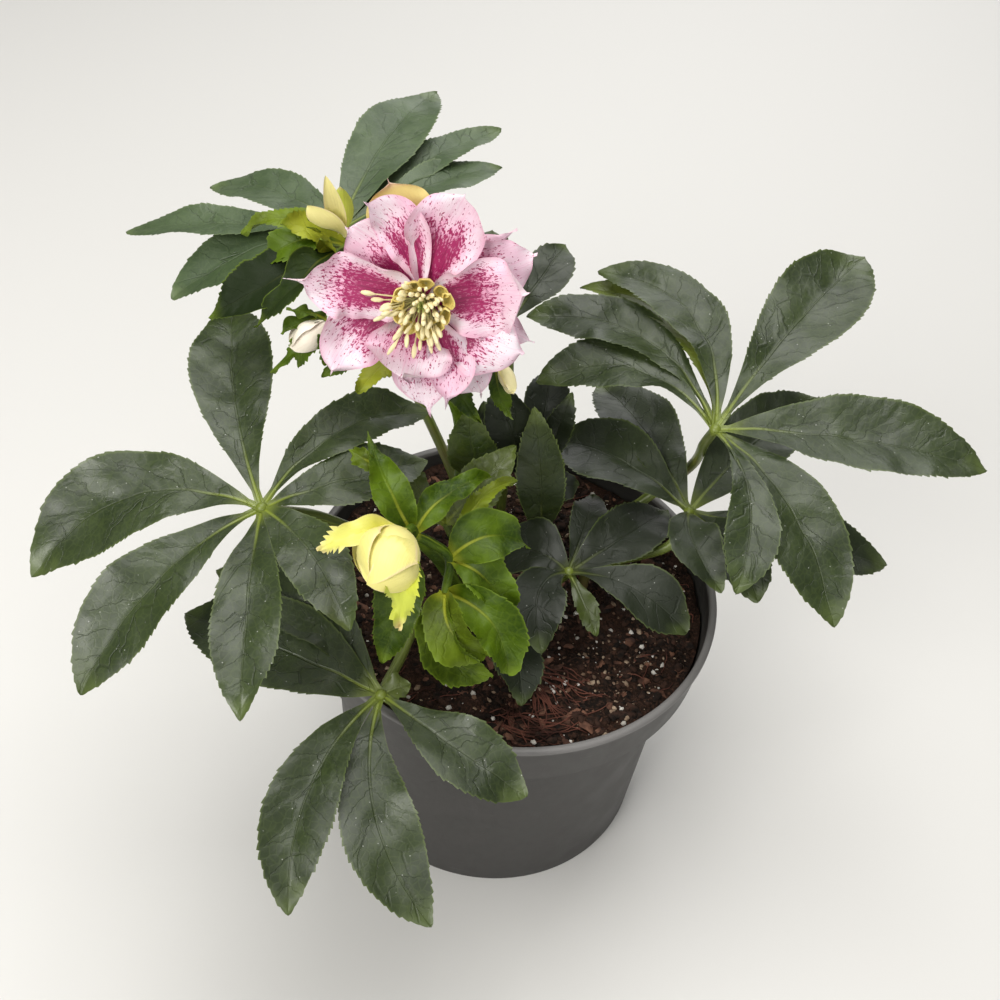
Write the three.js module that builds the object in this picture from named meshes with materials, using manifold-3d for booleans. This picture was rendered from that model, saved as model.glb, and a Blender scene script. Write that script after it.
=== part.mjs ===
// A flowering hellebore growing in a round nursery pot.
// Millimetres, +Z up.  The origin is the centre of the pot's base; the plant's best side faces -Y.

import * as THREE from 'three';
import { mergeVertices } from 'three/addons/utils/BufferGeometryUtils.js';
import Module from 'manifold-3d';

const wasm = await Module();
wasm.setup();

// ---------------------------------------------------------------- driving sizes

const GAP = 0.35; // clearance between pieces that touch
const SEED = 7; // of every random draw

const POT = {
  height: 124,
  rimRadius: 85,
  collarHeight: 22,
  stepRise: 3,
  collarRadius: 82.3,
  neckRadius: 73.4,
  baseRadius: 68,
  wall: 1.8,
  floor: 2.6,
  lipWide: 3,
  lipDrop: 2.4,
  lipEdge: 0.8,
  sides: 32,
  drainHoles: 6,
  drainRadius: 6,
  drainCircle: 48,
};

const SOIL = { level: 116, mound: 3, spread: 40, relief: 0.9, fall: 0.04, rings: 7, rooted: 16 };

const HUB = 2.8; // radius of the knuckle where leaflets meet their stalk

// Each leaf: where its knuckle is, the way it faces, its stalk from the compost upwards, and its
// leaflets as [heading in degrees, reach, rise of the tip, arch, sway, width, widest place].
const LEAVES = {
  leaf_a: {
    hub: [-92, -40, 190],
    face: [-0.1, -0.3, 1],
    stalk: [[-40, -4], [-46, -8, 140], [-72, -24, 172]],
    leaflets: [
      [108, 93, 22, 5, -4, 31, 0.64],
      [-163, 82, -24, 7, 16, 37, 0.61],
      [-129, 80, -37, 8, 5, 29, 0.63],
      [-83, 81, -15, 6, 0, 23, 0.59],
      [-49, 60, -7, 5, -4, 22, 0.54],
      [42, 73, 12, 6, -8, 22, 0.64],
      [28, 63, 5, 6, 2, 23, 0.59],
    ],
  },
  leaf_b: {
    hub: [-43, -79, 142],
    face: [0, -0.2, 1],
    stalk: [[-31, -20], [-32, -25, 129], [-36, -42, 136], [-39, -58, 137]],
    leaflets: [
      [162, 82, 2, 6, -1, 36, 0.54],
      [148, 83, 7, 5, 7, 26, 0.6],
      [-104, 79, -22, 6, 9, 24, 0.61],
      [-69, 79, -24, 5, 11, 26, 0.61],
      [-28, 63, -9, 6, 2, 25, 0.64],
    ],
  },
  leaf_c: {
    hub: [-83, 69, 236],
    face: [0, -0.05, 1],
    pale: true,
    stalk: [[-22, 26], [-30, 32, 150], [-62, 52, 204]],
    leaflets: [
      [74, 98, 15, 6, -2, 29, 0.56],
      [52, 93, 12, 7, -3, 18, 0.64],
      [42, 80, 5, 6, 1, 21, 0.63],
      [152, 67, -7, 6, 4, 26, 0.55],
      [180, 86, -12, 6, -3, 19, 0.61],
      [-155, 67, -21, 5, 3, 26, 0.66],
    ],
  },
  leaf_d: {
    hub: [68, 12, 206],
    face: [0.05, -0.25, 1],
    stalk: [[32, 22], [46, 33, 138], [68, 41, 160], [69, 29, 184]],
    leaflets: [
      [124, 87, 16, 10, 16, 25, 0.62],
      [145, 92, 3, 6, 16, 25, 0.69],
      [135, 80, -4, 8, 15, 14, 0.6],
      [161, 73, -6, 6, 14, 24, 0.67],
      [54, 98, 33, 6, -2, 34, 0.68],
      [-5, 101, 3, 7, 0, 33, 0.59],
      [-56, 81, -28, 8, -5, 31, 0.59],
      [-84, 69, -15, 7, -7, 19, 0.7],
    ],
  },
  leaf_e: {
    hub: [67, 14, 160],
    face: [0, -0.25, 1],
    stalk: [[30, 8], [32, 8, 127], [46, 6, 138], [61, 6, 148]],
    leaflets: [
      [118, 83, 2, 7, 1, 30, 0.6],
      [147, 67, -2, 7, 2, 33, 0.62],
      [51, 90, 11, 6, -2, 30, 0.53],
      [-4, 83, -12, 8, 3, 26, 0.63],
      [-59, 50, -2, 6, -2, 23, 0.62],
      [-76, 45, 2, 7, 6, 20, 0.57],
    ],
  },
  leaf_f: {
    hub: [21, -15, 148],
    face: [0, -0.3, 1],
    stalk: [[14, -7], [15, -8, 130]],
    leaflets: [
      [151, 31, -11, 7, 2, 27, 0.54],
      [-101, 42, -1, 8, 8, 21, 0.61],
      [-22, 51, -6, 8, -3, 23, 0.67],
      [49, 62, -5, 6, 2, 24, 0.53],
      [80, 50, -4, 6, 1, 14, 0.58],
      [-60, 26, -10, 3, 0, 8, 0.6],
    ],
  },
  leaf_g: {
    hub: [-13, 29, 232],
    face: [0, -0.5, 1],
    stalk: [[-8, 34], [-9, 35, 170]],
    leaflets: [
      [60, 36, 16, 4, 1, 18, 0.6],
      [108, 34, 18, 4, -3, 17, 0.6],
      [158, 30, 6, 5, 2, 14, 0.6],
    ],
  },
  leaf_h: {
    hub: [4, 27, 158],
    face: [0, -1, 0.6],
    stalk: [[6, 31], [6, 31, 136]],
    leaflets: [
      [-171, 19, 50, 4, -2, 20, 0.6],
      [8, 10, 45, 2, 1, 11, 0.6],
      [164, 25, 31, 4, -4, 16, 0.62],
      [-5, 19, -1, 4, 1, 13, 0.55],
      [87, 39, 26, 6, 0, 19, 0.6],
    ],
  },
};

// Young leaves of the crown: stem points from the compost upwards, the way they face, and blades as
// [tip, arch, sway, width].
const YOUNG = {
  young_leaf_upright: {
    stem: [[13, 15], [11, 13, 128], [9.4, 10, 141]],
    face: [0.1, -1, 0.2],
    blades: [[[0, 19, 201], 3, 1, 19]],
  },
  young_leaf_olive: {
    stem: [[-13, 19], [-13, 17, 140], [-15, 14, 162]],
    face: [0, -1, 0.3],
    blades: [[[-24, 13, 202], 2, -2, 19]],
  },
  young_leaf_folded: {
    stem: [[-19, -4], [-22, -4, 138], [-29, -4, 156]],
    face: [-0.3, -0.8, 0.6],
    blades: [
      [[-5, 6, 192], 5, 1, 18],
      [[-44, 8, 176], 4, -2, 12],
    ],
  },
  low_leaf: {
    stem: [[-12, -27], [-11, -31, 126], [-9, -36, 134]],
    face: [0.2, 0, 1],
    dark: true,
    blades: [[[8, -65, 126], 6, -3, 20]],
  },
};

// The open flower.  Petals are [clock angle, reach, rise, width, layer, arch, sway] in the flower's own
// frame: +Z is the way it looks, +Y its upper side.
const FLOWER = {
  middle: [-42, -3, 260],
  looks: [0.06, -0.95, 0.31],
  stamens: 32,
  nectaries: 10,
  carpels: 4,
  petals: [
    [122, 39, 7, 22, 0, -3, 4],
    [73, 40, 7, 28, 0, -3, -1],
    [13, 36, 8, 29, 0, -3, 0],
    [-23, 38, 6, 24, 1, -3, 3],
    [-75, 38, 7, 20, 0, -3, -3],
    [-102, 25, 9, 20, 1, -3, 0],
    [-137, 41, 7, 21, 1, -3, 5],
    [172, 46, 8, 24, 0, -3, -0.5],
    [26, 41, 1, 22, 3, -1, 0],
    [-19, 41, 1, 12, 3, -1, -1],
    [-83, 43, 2, 21, 2, -1, 2],
    [-57, 41, 1, 22, 3, -1, 0],
    [141, 35, 1, 24, 3, -1, 1],
    [106, 40, 1, 21, 3, -1, 1],
    [41, 39, 0, 11, 4, 0, 0],
    [-160, 33, 1, 20, 3, -1, 0],
  ],
};

// Stems, each a list of points from the compost (or from the fork they leave) upwards.
const FLOWER_FORK = [-48, 17, 226];
const BUD_TWO_JOINT = [-76, 42, 248];
const BUD_ONE_JOINT = [-37, -50, 196];
const LOW_BUD_FORK = [-16, 14, 231];

const FLOWER_STEM = {
  trunk: [[-24, 10], [-25, 14, 140], [-29, 23, 190], FLOWER_FORK],
  arms: [
    [FLOWER_FORK, [-47, 23, 243], [-44, 16, 257], [-42.4, 3.6, 258]],
    [FLOWER_FORK, [-60, 30, 238], BUD_TWO_JOINT],
    [FLOWER_FORK, [-66, 17, 232], [-76, 9, 237]],
    [FLOWER_FORK, [-33, 23, 234], LOW_BUD_FORK, [-14.6, 10, 229]],
  ],
};

// Bracts of the tall stem, as [where it springs from, tip, arch, sway, width, way it faces].
const FLOWER_BRACTS = [
  [FLOWER_FORK, [-77, -1, 220], 5, 2, 11, [0, -0.4, 1]],
  [FLOWER_FORK, [-97, 3, 216], 12, 2, 9, [0, -0.4, 1]],
  [FLOWER_FORK, [-63, -10, 222], 4, 0, 11, [0, -0.5, 1]],
  [FLOWER_FORK, [-20, 2, 205], 5, 0, 10, [0, -0.5, 1]],
  [LOW_BUD_FORK, [-8, 6, 206], 2, 3, 7, [0.3, -1, 0.3]],
  [BUD_TWO_JOINT, [-121, 13, 230], 6, -3, 23, [0, -0.4, 1]],
  [BUD_TWO_JOINT, [-102, 8, 232], 13, -7, 14, [-0.2, -0.4, 1]],
  [BUD_TWO_JOINT, [-105, 30, 242], 10, 0, 13, [0, -0.4, 1]],
  [BUD_TWO_JOINT, [-111, 24, 237], 5, 2, 9, [0, -0.3, 1]],
  [BUD_TWO_JOINT, [-114, 40, 249], 9, 3, 8, [0, -0.4, 1]],
  [BUD_TWO_JOINT, [-98, 34, 259], 2, 1, 12, [0, -0.7, 1]],
  [BUD_TWO_JOINT, [-82, 26, 261], 4, 0, 8, [-0.1, -0.9, -0.3]],
];

const BUD_TWO_FOOT = [-77, 40, 254.6];
const BUD_TWO_PETALS = [
  [[-82, 37, 279], 2, 0, 8, [0.3, -1, 0]],
  [[-88, 34, 268], 4, 2, 10, [-0.4, -1, 0.3]],
  [[-78, 44, 271], 2, 0, 8, [0, 1, 0.2]],
];

const BUD_ONE_STEM = [[-18, -22], [-20, -26, 140], [-28, -41, 175], BUD_ONE_JOINT];
const BUD_ONE_FORK = [-24, -49, 185];
const BUD_ONE_LOW_FORK = [-24, -57, 176];
const BUD_ONE_LOBE = [-50, -40, 213];

// Bracts of the low cluster, as [where it springs from, tip, arch, sway, width, way it faces].
const BUD_ONE_BRACTS = [
  [BUD_ONE_JOINT, [-56, -32, 225], 3, -1, 12, [0, -0.7, 0.7]],
  [BUD_ONE_LOBE, [-63, -34, 219], 2, 0, 6, [-0.4, -0.7, 0.7]],
  [BUD_ONE_JOINT, [-13, -27, 205], 4, -4, 10, [0.1, -0.6, 1]],
  [BUD_ONE_FORK, [-3, -16, 195], 8, -4, 6, [0, -0.5, 1]],
  [BUD_ONE_FORK, [3, -38, 181], 10, -3, 17, [0.1, -0.5, 1]],
  [BUD_ONE_FORK, [-1, -58, 170], 5, -2, 15, [0.1, -0.5, 1]],
  [BUD_ONE_LOW_FORK, [-5, -76, 156], 6, 8, 14, [-0.3, -0.8, 0.8]],
  [BUD_ONE_LOW_FORK, [1, -75, 157], 7, -5, 16, [0.4, -0.8, 0.8]],
  [BUD_ONE_LOW_FORK, [-8, -72, 163], 9, 3, 9, [-0.3, -0.8, 0.8]],
  [BUD_ONE_JOINT, [-43, -79, 160], -6, 1, 17, [-0.2, -0.9, 0.6]],
];

// Pale frilly bracts that spring from under the largest bud.
const BUD_ONE_FRILLS = [
  [[-66, -68, 202], 6, 2, 11, [0, -0.6, 1]],
  [[-35, -80, 180], 7, -1, 9, [0, -0.9, 0.6]],
];

// Buds: middle of the stem end, the way they point, length, greatest radius and petals across.
const BUDS = {
  bud_one_petals: {
    foot: [-39.2, -56.6, 203],
    points: [-0.35, -0.85, -0.1],
    long: 24,
    radius: 11.5,
    across: 5,
    frills: BUD_ONE_FRILLS,
  },
  side_bud_petals: {
    foot: [-76.6, 8, 237.6],
    points: [-0.7, -0.7, -0.1],
    long: 15,
    radius: 5.5,
    across: 3,
  },
  low_bud_petals: {
    foot: [-14.1, 8.9, 228.1],
    points: [0.45, -0.6, -0.55],
    long: 12,
    radius: 3.4,
    across: 3,
  },
};

const finish = (color, roughness) => new THREE.MeshStandardMaterial({ color, roughness });

const FINISH = {
  pot: finish(0x454243, 0.75),
  compost: finish(0x3b251b, 0.98),
  leaf: finish(0x2c3d2a, 0.42),
  paleLeaf: finish(0x48603f, 0.5),
  stalk: finish(0x7d8c3c, 0.5),
  bract: finish(0x6f9a2a, 0.5),
  youngLeaf: finish(0x46612a, 0.45),
  petal: finish(0xdf9db8, 0.55),
  cream: finish(0xe9e6ae, 0.55),
  stamen: finish(0xe6dcaa, 0.6),
  nectary: finish(0xb5a545, 0.5),
  carpel: finish(0x9fb45a, 0.5),
};

// ---------------------------------------------------------------- small helpers

const UP = new THREE.Vector3(0, 0, 1);
const radians = THREE.MathUtils.degToRad;
const vector = ([x, y, z]) => new THREE.Vector3(x, y, z);

// A repeatable stream of numbers from 0 to 1.
function dice(seed) {
  let state = seed;
  return () => {
    state = (state * 1664525 + 1013904223) % 4294967296;
    return state / 4294967296;
  };
}

// A closed three.js geometry as a manifold-3d solid.
function solidOf(geometry) {
  const bare = geometry.clone();
  bare.deleteAttribute('normal');
  bare.deleteAttribute('uv');
  const merged = mergeVertices(bare, 1e-4);
  const vertProperties = Float32Array.from(merged.attributes.position.array);
  const triVerts = Uint32Array.from(merged.index.array);
  return new wasm.Manifold(new wasm.Mesh({ numProp: 3, vertProperties, triVerts }));
}

function solidFrom(corners, faces) {
  const geometry = new THREE.BufferGeometry().setFromPoints(corners);
  geometry.setIndex(faces.flat());
  return solidOf(geometry);
}

// Solids joined in one; a hollow that the joining seals is filled, and a loose scrap is dropped.
function fuse(solids) {
  const joined = solids.reduce((whole, next) => whole.add(next));
  return joined.decompose().reduce((most, next) => (next.volume() > most.volume() ? next : most));
}

function piece(name, solid, material, place = [0, 0, 0]) {
  const { vertProperties, triVerts } = solid.getMesh();
  const geometry = new THREE.BufferGeometry();
  geometry.setAttribute('position', new THREE.BufferAttribute(Float32Array.from(vertProperties), 3));
  geometry.setIndex(new THREE.BufferAttribute(Uint32Array.from(triVerts), 1));
  geometry.computeVertexNormals();
  const mesh = new THREE.Mesh(geometry, material);
  mesh.name = name;
  mesh.position.fromArray(place);
  return mesh;
}

// A round-section stem along a smooth curve, thinner towards its upper end.
function stem(points, low, high, sides = 6, steps = 6) {
  const curve = new THREE.CatmullRomCurve3(points.map(vector));
  const frames = curve.computeFrenetFrames(steps);
  const rod = new THREE.CylinderGeometry(high, low, 1, sides, steps);
  const places = rod.attributes.position;
  for (let i = 0; i < places.count; i += 1) {
    const step = Math.round((places.getY(i) + 0.5) * steps);
    const spot = curve.getPointAt(step / steps);
    spot.addScaledVector(frames.binormals[step], places.getX(i));
    spot.addScaledVector(frames.normals[step], places.getZ(i));
    places.setXYZ(i, spot.x, spot.y, spot.z);
  }
  return solidOf(rod);
}

// Stem points whose first one, [x, y], is where the stem enters the compost: it goes on below.
const rooted = ([[x, y], ...rest]) => [
  [x, y, SOIL.level - SOIL.rooted],
  [x, y, SOIL.level - SOIL.rooted / 4],
  [x, y, SOIL.level + 3],
  ...rest,
];

const burrows = [];

// A stem that stands in the compost: its burrow, a little wider and deeper, is remembered.
function rootedStem(points, low, high) {
  const path = rooted(points);
  const [x, y, z] = path[0];
  const entry = [[x, y, z - GAP], [x, y, SOIL.level], [x, y, SOIL.level + 9]];
  burrows.push(stem(entry, low + 4 * GAP, low + 4 * GAP, 6, 1));
  return stem(path, low, high);
}

// How wide a blade is at u along its midrib, from 0 to 1, with its widest place where asked.
function swell(u, widest, full) {
  const eased = u ** (Math.log(0.5) / Math.log(widest));
  return Math.sin(Math.PI * Math.min(eased, 1)) ** full;
}

// A leaflet, petal or bract: a thin lens-shaped section carried along a bent midrib.
// arch lifts the midrib's middle towards face, sway moves it to the right; fold and cup raise the rims
// in a V and in a bowl; each step of a toothed rim carries one tooth that leans to the tip.
function blade({
  from = [0, 0, 0],
  to,
  face = [0, 0, 1],
  arch = 0,
  sway = 0,
  wide,
  widest = 0.58,
  full = 0.9,
  foot = 1.6,
  thick = 1.3,
  fold = 0,
  cup = 0,
  tooth = 0,
  toothFrom = 0.3,
  steps = 7,
  across = 3,
  roll = 0,
}) {
  const start = vector(from);
  const end = vector(to);
  const facing = vector(face).normalize();
  const along = end.clone().sub(start);
  const right = along.clone().cross(facing).normalize();
  const lift = right.clone().cross(along).normalize();
  const bend = start.clone().add(end).multiplyScalar(0.5);
  bend.addScaledVector(lift, 2 * arch).addScaledVector(right, 2 * sway);
  const midrib = new THREE.QuadraticBezierCurve3(start, bend, end);

  const corners = [];
  const faces = [];
  const last = across - 1;
  const middle = last / 2;
  const halfWidth = (u) => Math.max(foot * (1 - u), (wide / 2) * swell(u, widest, full));
  const frameAt = (u) => {
    const tangent = midrib.getTangent(u);
    const side = tangent.clone().cross(facing).normalize().applyAxisAngle(tangent, radians(roll));
    return { spot: midrib.getPoint(u), side, normal: side.clone().cross(tangent) };
  };
  const place = (u, reach, height) => {
    const { spot, side, normal } = frameAt(u);
    corners.push(spot.addScaledVector(side, reach).addScaledVector(normal, height));
    return corners.length - 1;
  };
  const row = (u) => {
    const width = halfWidth(u);
    const top = [];
    const under = [];
    for (let j = 0; j < across; j += 1) {
      const v = (j - middle) / middle;
      const rise = width * (fold * Math.abs(v) + cup * v * v);
      const half = (thick / 2) * (1 - v * v);
      top.push(place(u, v * width, rise + half));
      under.push(half > 0 ? place(u, v * width, rise - half) : top[j]);
    }
    return { top, under };
  };
  const addFace = (a, b, c) => {
    if (a !== b && b !== c && c !== a) faces.push([a, b, c]);
  };
  // Both skins get the same triangles, the under one turned over.
  const bothSkins = (low, next, pick) => {
    pick(low.top, next.top).forEach(([a, b, c]) => addFace(a, b, c));
    pick(low.under, next.under).forEach(([a, b, c]) => addFace(a, c, b));
  };

  const rows = [];
  for (let i = 0; i < steps; i += 1) rows.push(row(i / steps));
  corners.push(end.clone());
  const tip = new Array(across).fill(corners.length - 1);
  rows.push({ top: tip, under: tip });

  for (let i = 0; i < steps; i += 1) {
    const toothed = tooth > 0 && i / steps >= toothFrom;
    const point = (i + 0.8) / steps;
    const spread = toothed ? halfWidth(point) + tooth : 0;
    const rimRise = spread * (fold + cup);
    const leftTooth = toothed && place(point, -spread, rimRise);
    const rightTooth = toothed && place(point, spread, rimRise);
    bothSkins(rows[i], rows[i + 1], (a, b) => {
      const skin = [];
      for (let j = 0; j < last; j += 1) {
        if (toothed && j === 0) {
          skin.push([a[0], a[1], leftTooth], [a[1], b[1], leftTooth], [b[1], b[0], leftTooth]);
        } else if (toothed && j === last - 1) {
          skin.push([a[j], a[last], rightTooth], [a[j], rightTooth, b[j]], [b[j], rightTooth, b[last]]);
        } else if (j < middle) {
          skin.push([a[j], a[j + 1], b[j]], [a[j + 1], b[j + 1], b[j]]);
        } else {
          skin.push([a[j], a[j + 1], b[j + 1]], [a[j], b[j + 1], b[j]]);
        }
      }
      return skin;
    });
  }
  // The foot is closed by a fan from the middle of its upper skin.
  const { top, under } = rows[0];
  const leftHalf = top.slice(0, middle).reverse();
  const rightHalf = top.slice(middle + 1).reverse();
  const around = [...leftHalf, ...under.slice(1, last), ...rightHalf];
  for (let k = 0; k + 1 < around.length; k += 1) addFace(top[middle], around[k], around[k + 1]);
  return solidFrom(corners, faces);
}

// ---------------------------------------------------------------- pot and compost

function turned(profile, sides) {
  const points = profile.map(([radius, height]) => new THREE.Vector2(radius, height));
  return solidOf(new THREE.LatheGeometry(points, sides).rotateX(Math.PI / 2));
}

// The inner face of the pot's wall, from its floor to its lip.
const innerWall = (slack) => [
  [POT.baseRadius - POT.wall - slack, POT.floor + slack],
  [POT.neckRadius - POT.wall - slack, POT.height - POT.collarHeight + POT.wall + slack],
  [POT.collarRadius - POT.wall - slack, POT.height - POT.collarHeight + POT.wall + POT.stepRise + slack],
];

function pot() {
  const { height, rimRadius, collarHeight, collarRadius, neckRadius, baseRadius } = POT;
  const lipInner = rimRadius - POT.lipWide;
  const shell = turned(
    [
      [0, 0],
      [baseRadius, 0],
      [neckRadius, height - collarHeight],
      [collarRadius, height - collarHeight],
      [rimRadius - POT.lipEdge, height - POT.lipDrop],
      [rimRadius, height - POT.lipDrop],
      [rimRadius, height],
      [lipInner, height],
      [lipInner, height - POT.lipDrop],
      ...innerWall(0).reverse(),
      [0, POT.floor],
    ],
    POT.sides,
  );
  let drained = shell;
  for (let k = 0; k < POT.drainHoles; k += 1) {
    const turn = (2 * Math.PI * k) / POT.drainHoles;
    const drill = new THREE.CylinderGeometry(POT.drainRadius, POT.drainRadius, 3 * POT.floor, 12);
    drill.rotateX(Math.PI / 2);
    drill.translate(POT.drainCircle * Math.cos(turn), POT.drainCircle * Math.sin(turn), 0);
    drained = drained.subtract(solidOf(drill));
  }
  return piece('pot', drained, FINISH.pot);
}

// Height of the compost's surface: a low mound with lumps on it, lower on the right.
function soilHeight(x, y) {
  const mound = SOIL.mound * Math.exp(-(x * x + y * y) / SOIL.spread ** 2);
  const lumps = Math.sin(x * 0.31 + 1.3) * Math.cos(y * 0.27) + 0.7 * Math.sin(x * 0.13 - y * 0.22 + 2);
  return SOIL.level + mound + SOIL.relief * lumps - SOIL.fall * Math.max(x, 0);
}

function compost() {
  const wall = innerWall(GAP);
  const edge = wall[2][0] + 0.4;
  const profile = [[0, POT.floor + GAP], ...wall, [edge, SOIL.level]];
  for (let ring = SOIL.rings - 1; ring > 0; ring -= 1) {
    profile.push([(edge * ring) / SOIL.rings, SOIL.level]);
  }
  profile.push([0, SOIL.level]);
  const points = profile.map(([radius, height]) => new THREE.Vector2(radius, height));
  const body = new THREE.LatheGeometry(points, POT.sides).rotateX(Math.PI / 2);
  const places = body.attributes.position;
  for (let i = 0; i < places.count; i += 1) {
    const onTop = Math.abs(places.getZ(i) - SOIL.level) < 0.01;
    if (onTop) places.setZ(i, soilHeight(places.getX(i), places.getY(i)));
  }
  const bored = burrows.reduce((left, burrow) => left.subtract(burrow), solidOf(body));
  return piece('compost', bored, FINISH.compost);
}

// ---------------------------------------------------------------- leaves

const LEAFLET = { thick: 1.3, fold: 0.15, tooth: 0.9, steps: 7 };
const YOUNG_BLADE = { ...LEAFLET, tooth: 0.7, toothFrom: 0.2, steps: 6, widest: 0.5 };

function leafPieces([name, { hub, face, stalk, leaflets, pale }]) {
  const knuckle = solidOf(new THREE.IcosahedronGeometry(HUB, 0));
  const blades = leaflets.map(([heading, reach, rise, arch, sway, wide, widest]) => {
    const turn = radians(heading);
    const to = [reach * Math.cos(turn), reach * Math.sin(turn), rise];
    return blade({ ...LEAFLET, to, face, arch, sway, wide, widest });
  });
  const top = vector(hub);
  const under = vector(stalk[stalk.length - 1]).sub(top).setLength(HUB + GAP).add(top);
  const stalkPoints = [...stalk, under.toArray()];
  return [
    piece(`${name}_blade`, fuse([knuckle, ...blades]), pale ? FINISH.paleLeaf : FINISH.leaf, hub),
    piece(`${name}_stalk`, rootedStem(stalkPoints, 2.4, 1.9), FINISH.stalk),
  ];
}

function youngLeaf([name, { stem: path, face, blades, dark }]) {
  const top = path[path.length - 1];
  const rod = rootedStem(path, 1.9, 1.5);
  const parts = blades.map(([to, arch, sway, wide]) =>
    blade({ ...YOUNG_BLADE, from: top, to, face, arch, sway, wide }),
  );
  return piece(name, fuse([rod, ...parts]), dark ? FINISH.leaf : FINISH.youngLeaf);
}

// ---------------------------------------------------------------- flower

const PETAL = { thick: 1.1, cup: 0.14, steps: 5, across: 3, widest: 0.64, full: 0.72, foot: 2.2 };
const RECEPTACLE = { radius: 6, thick: 2.4, layer: 1.3 };

function petals() {
  const { radius, thick, layer } = RECEPTACLE;
  const seat = new THREE.CylinderGeometry(radius, radius * 0.6, thick + 3 * layer, 12);
  seat.rotateX(Math.PI / 2).translate(0, 0, -(thick + 3 * layer) / 2);
  const blades = FLOWER.petals.map(([angle, reach, rise, wide, depth, arch, sway]) => {
    const turn = radians(angle);
    const low = -1 - depth * layer;
    const from = [2 * Math.cos(turn), 2 * Math.sin(turn), low];
    const to = [reach * Math.cos(turn), reach * Math.sin(turn), low + rise];
    return blade({ ...PETAL, from, to, arch, sway, wide, across: depth < 2 ? 5 : 3 });
  });
  return fuse([solidOf(seat), ...blades]);
}

// A slender organ: a turned shape stood on the flower's seat, then leant and turned about the axis.
function organ(profile, sides, radius, lean, turn, bend = 0) {
  const points = profile.map(([r, h]) => new THREE.Vector2(r, h));
  const shape = new THREE.LatheGeometry(points, sides).rotateX(Math.PI / 2);
  const places = shape.attributes.position;
  for (let i = 0; i < places.count; i += 1) {
    places.setX(i, places.getX(i) + bend * places.getZ(i) ** 2);
  }
  shape.rotateY(lean).translate(radius, 0, 0).rotateZ(turn);
  return solidOf(shape);
}

const ring = (inner, outer, low, high) =>
  turned([[inner, low], [outer, low], [outer, high], [inner, high], [inner, low]], 12);

function stamens() {
  const roll = dice(SEED);
  const filaments = [];
  for (let k = 0; k < FLOWER.stamens; k += 1) {
    const turn = radians(k * 137.5);
    const down = 0.5 - 0.5 * Math.sin(turn);
    const lean = radians(3 + 7 * roll());
    const bend = 0.01 + 0.03 * roll() * (0.4 + down);
    const long = 12.5 + 4 * roll();
    const club = [[0, 0.2], [0.6, 0.2], [1.15, long * 0.86], [0, long]];
    filaments.push(organ(club, 3, 3.1 + 0.7 * roll(), lean, turn, bend));
  }
  return fuse([ring(2.3, 4.7, -0.6, 1.4), ...filaments]).translate([0, 0, 1]);
}

function nectaries() {
  const horn = [[0, 0], [0.9, 0], [1.2, 4], [1.7, 6.4], [0, 5.6]];
  const horns = [];
  for (let k = 0; k < FLOWER.nectaries; k += 1) {
    horns.push(organ(horn, 4, 7.5, radians(28), (2 * Math.PI * k) / FLOWER.nectaries));
  }
  return fuse([ring(5.7, 8.4, -0.6, 0.8), ...horns]).translate([0, 0, 1]);
}

function carpels() {
  const cup = [[0, -0.4], [0.8, -0.4], [0.9, 3], [0.35, 7], [0, 8.4]];
  const cups = [];
  for (let k = 0; k < FLOWER.carpels; k += 1) {
    cups.push(organ(cup, 5, 0.7, radians(3), (2 * Math.PI * k) / FLOWER.carpels));
  }
  return fuse(cups).translate([0, 0, 0.8]);
}

function flower() {
  const group = new THREE.Group();
  const looks = vector(FLOWER.looks).normalize();
  const right = UP.clone().cross(looks).normalize();
  group.quaternion.setFromRotationMatrix(
    new THREE.Matrix4().makeBasis(right, looks.clone().cross(right), looks),
  );
  group.position.fromArray(FLOWER.middle);
  group.add(piece('flower_petals', petals(), FINISH.petal));
  group.add(piece('flower_stamens', stamens(), FINISH.stamen));
  group.add(piece('flower_nectaries', nectaries(), FINISH.nectary));
  group.add(piece('flower_carpels', carpels(), FINISH.carpel));
  return group;
}

// ---------------------------------------------------------------- stems, bracts and buds

const BRACT = { thick: 1.2, fold: 0.22, tooth: 0.7, steps: 5, widest: 0.5, foot: 1.8 };

function flowerStem() {
  const trunk = rootedStem(FLOWER_STEM.trunk, 2.9, 2.3);
  const arms = FLOWER_STEM.arms.map((path) => stem(path, 1.7, 1.3, 6, 4));
  const bracts = FLOWER_BRACTS.map(([from, to, arch, sway, wide, face]) =>
    blade({ ...BRACT, from, to, arch, sway, wide, face }),
  );
  return piece('flower_stem', fuse([trunk, ...arms, ...bracts]), FINISH.bract);
}

function budOneStem() {
  const trunk = rootedStem(BUD_ONE_STEM, 2.8, 2.3);
  const arm = stem([BUD_ONE_JOINT, [-37.5, -52, 201], [-38.8, -55.4, 202.5]], 1.9, 1.7, 6, 3);
  const branch = stem([BUD_ONE_JOINT, [-31, -49, 192], BUD_ONE_FORK, BUD_ONE_LOW_FORK], 1.9, 1.6, 6, 4);
  const bracts = BUD_ONE_BRACTS.map(([from, to, arch, sway, wide, face]) =>
    blade({ ...BRACT, from, to, arch, sway, wide, face }),
  );
  return piece('bud_one_stem', fuse([trunk, arm, branch, ...bracts]), FINISH.bract);
}

const WRAP = { thick: 1.1, cup: -0.42, steps: 4, widest: 0.5, full: 0.75, roll: 9 };

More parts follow.
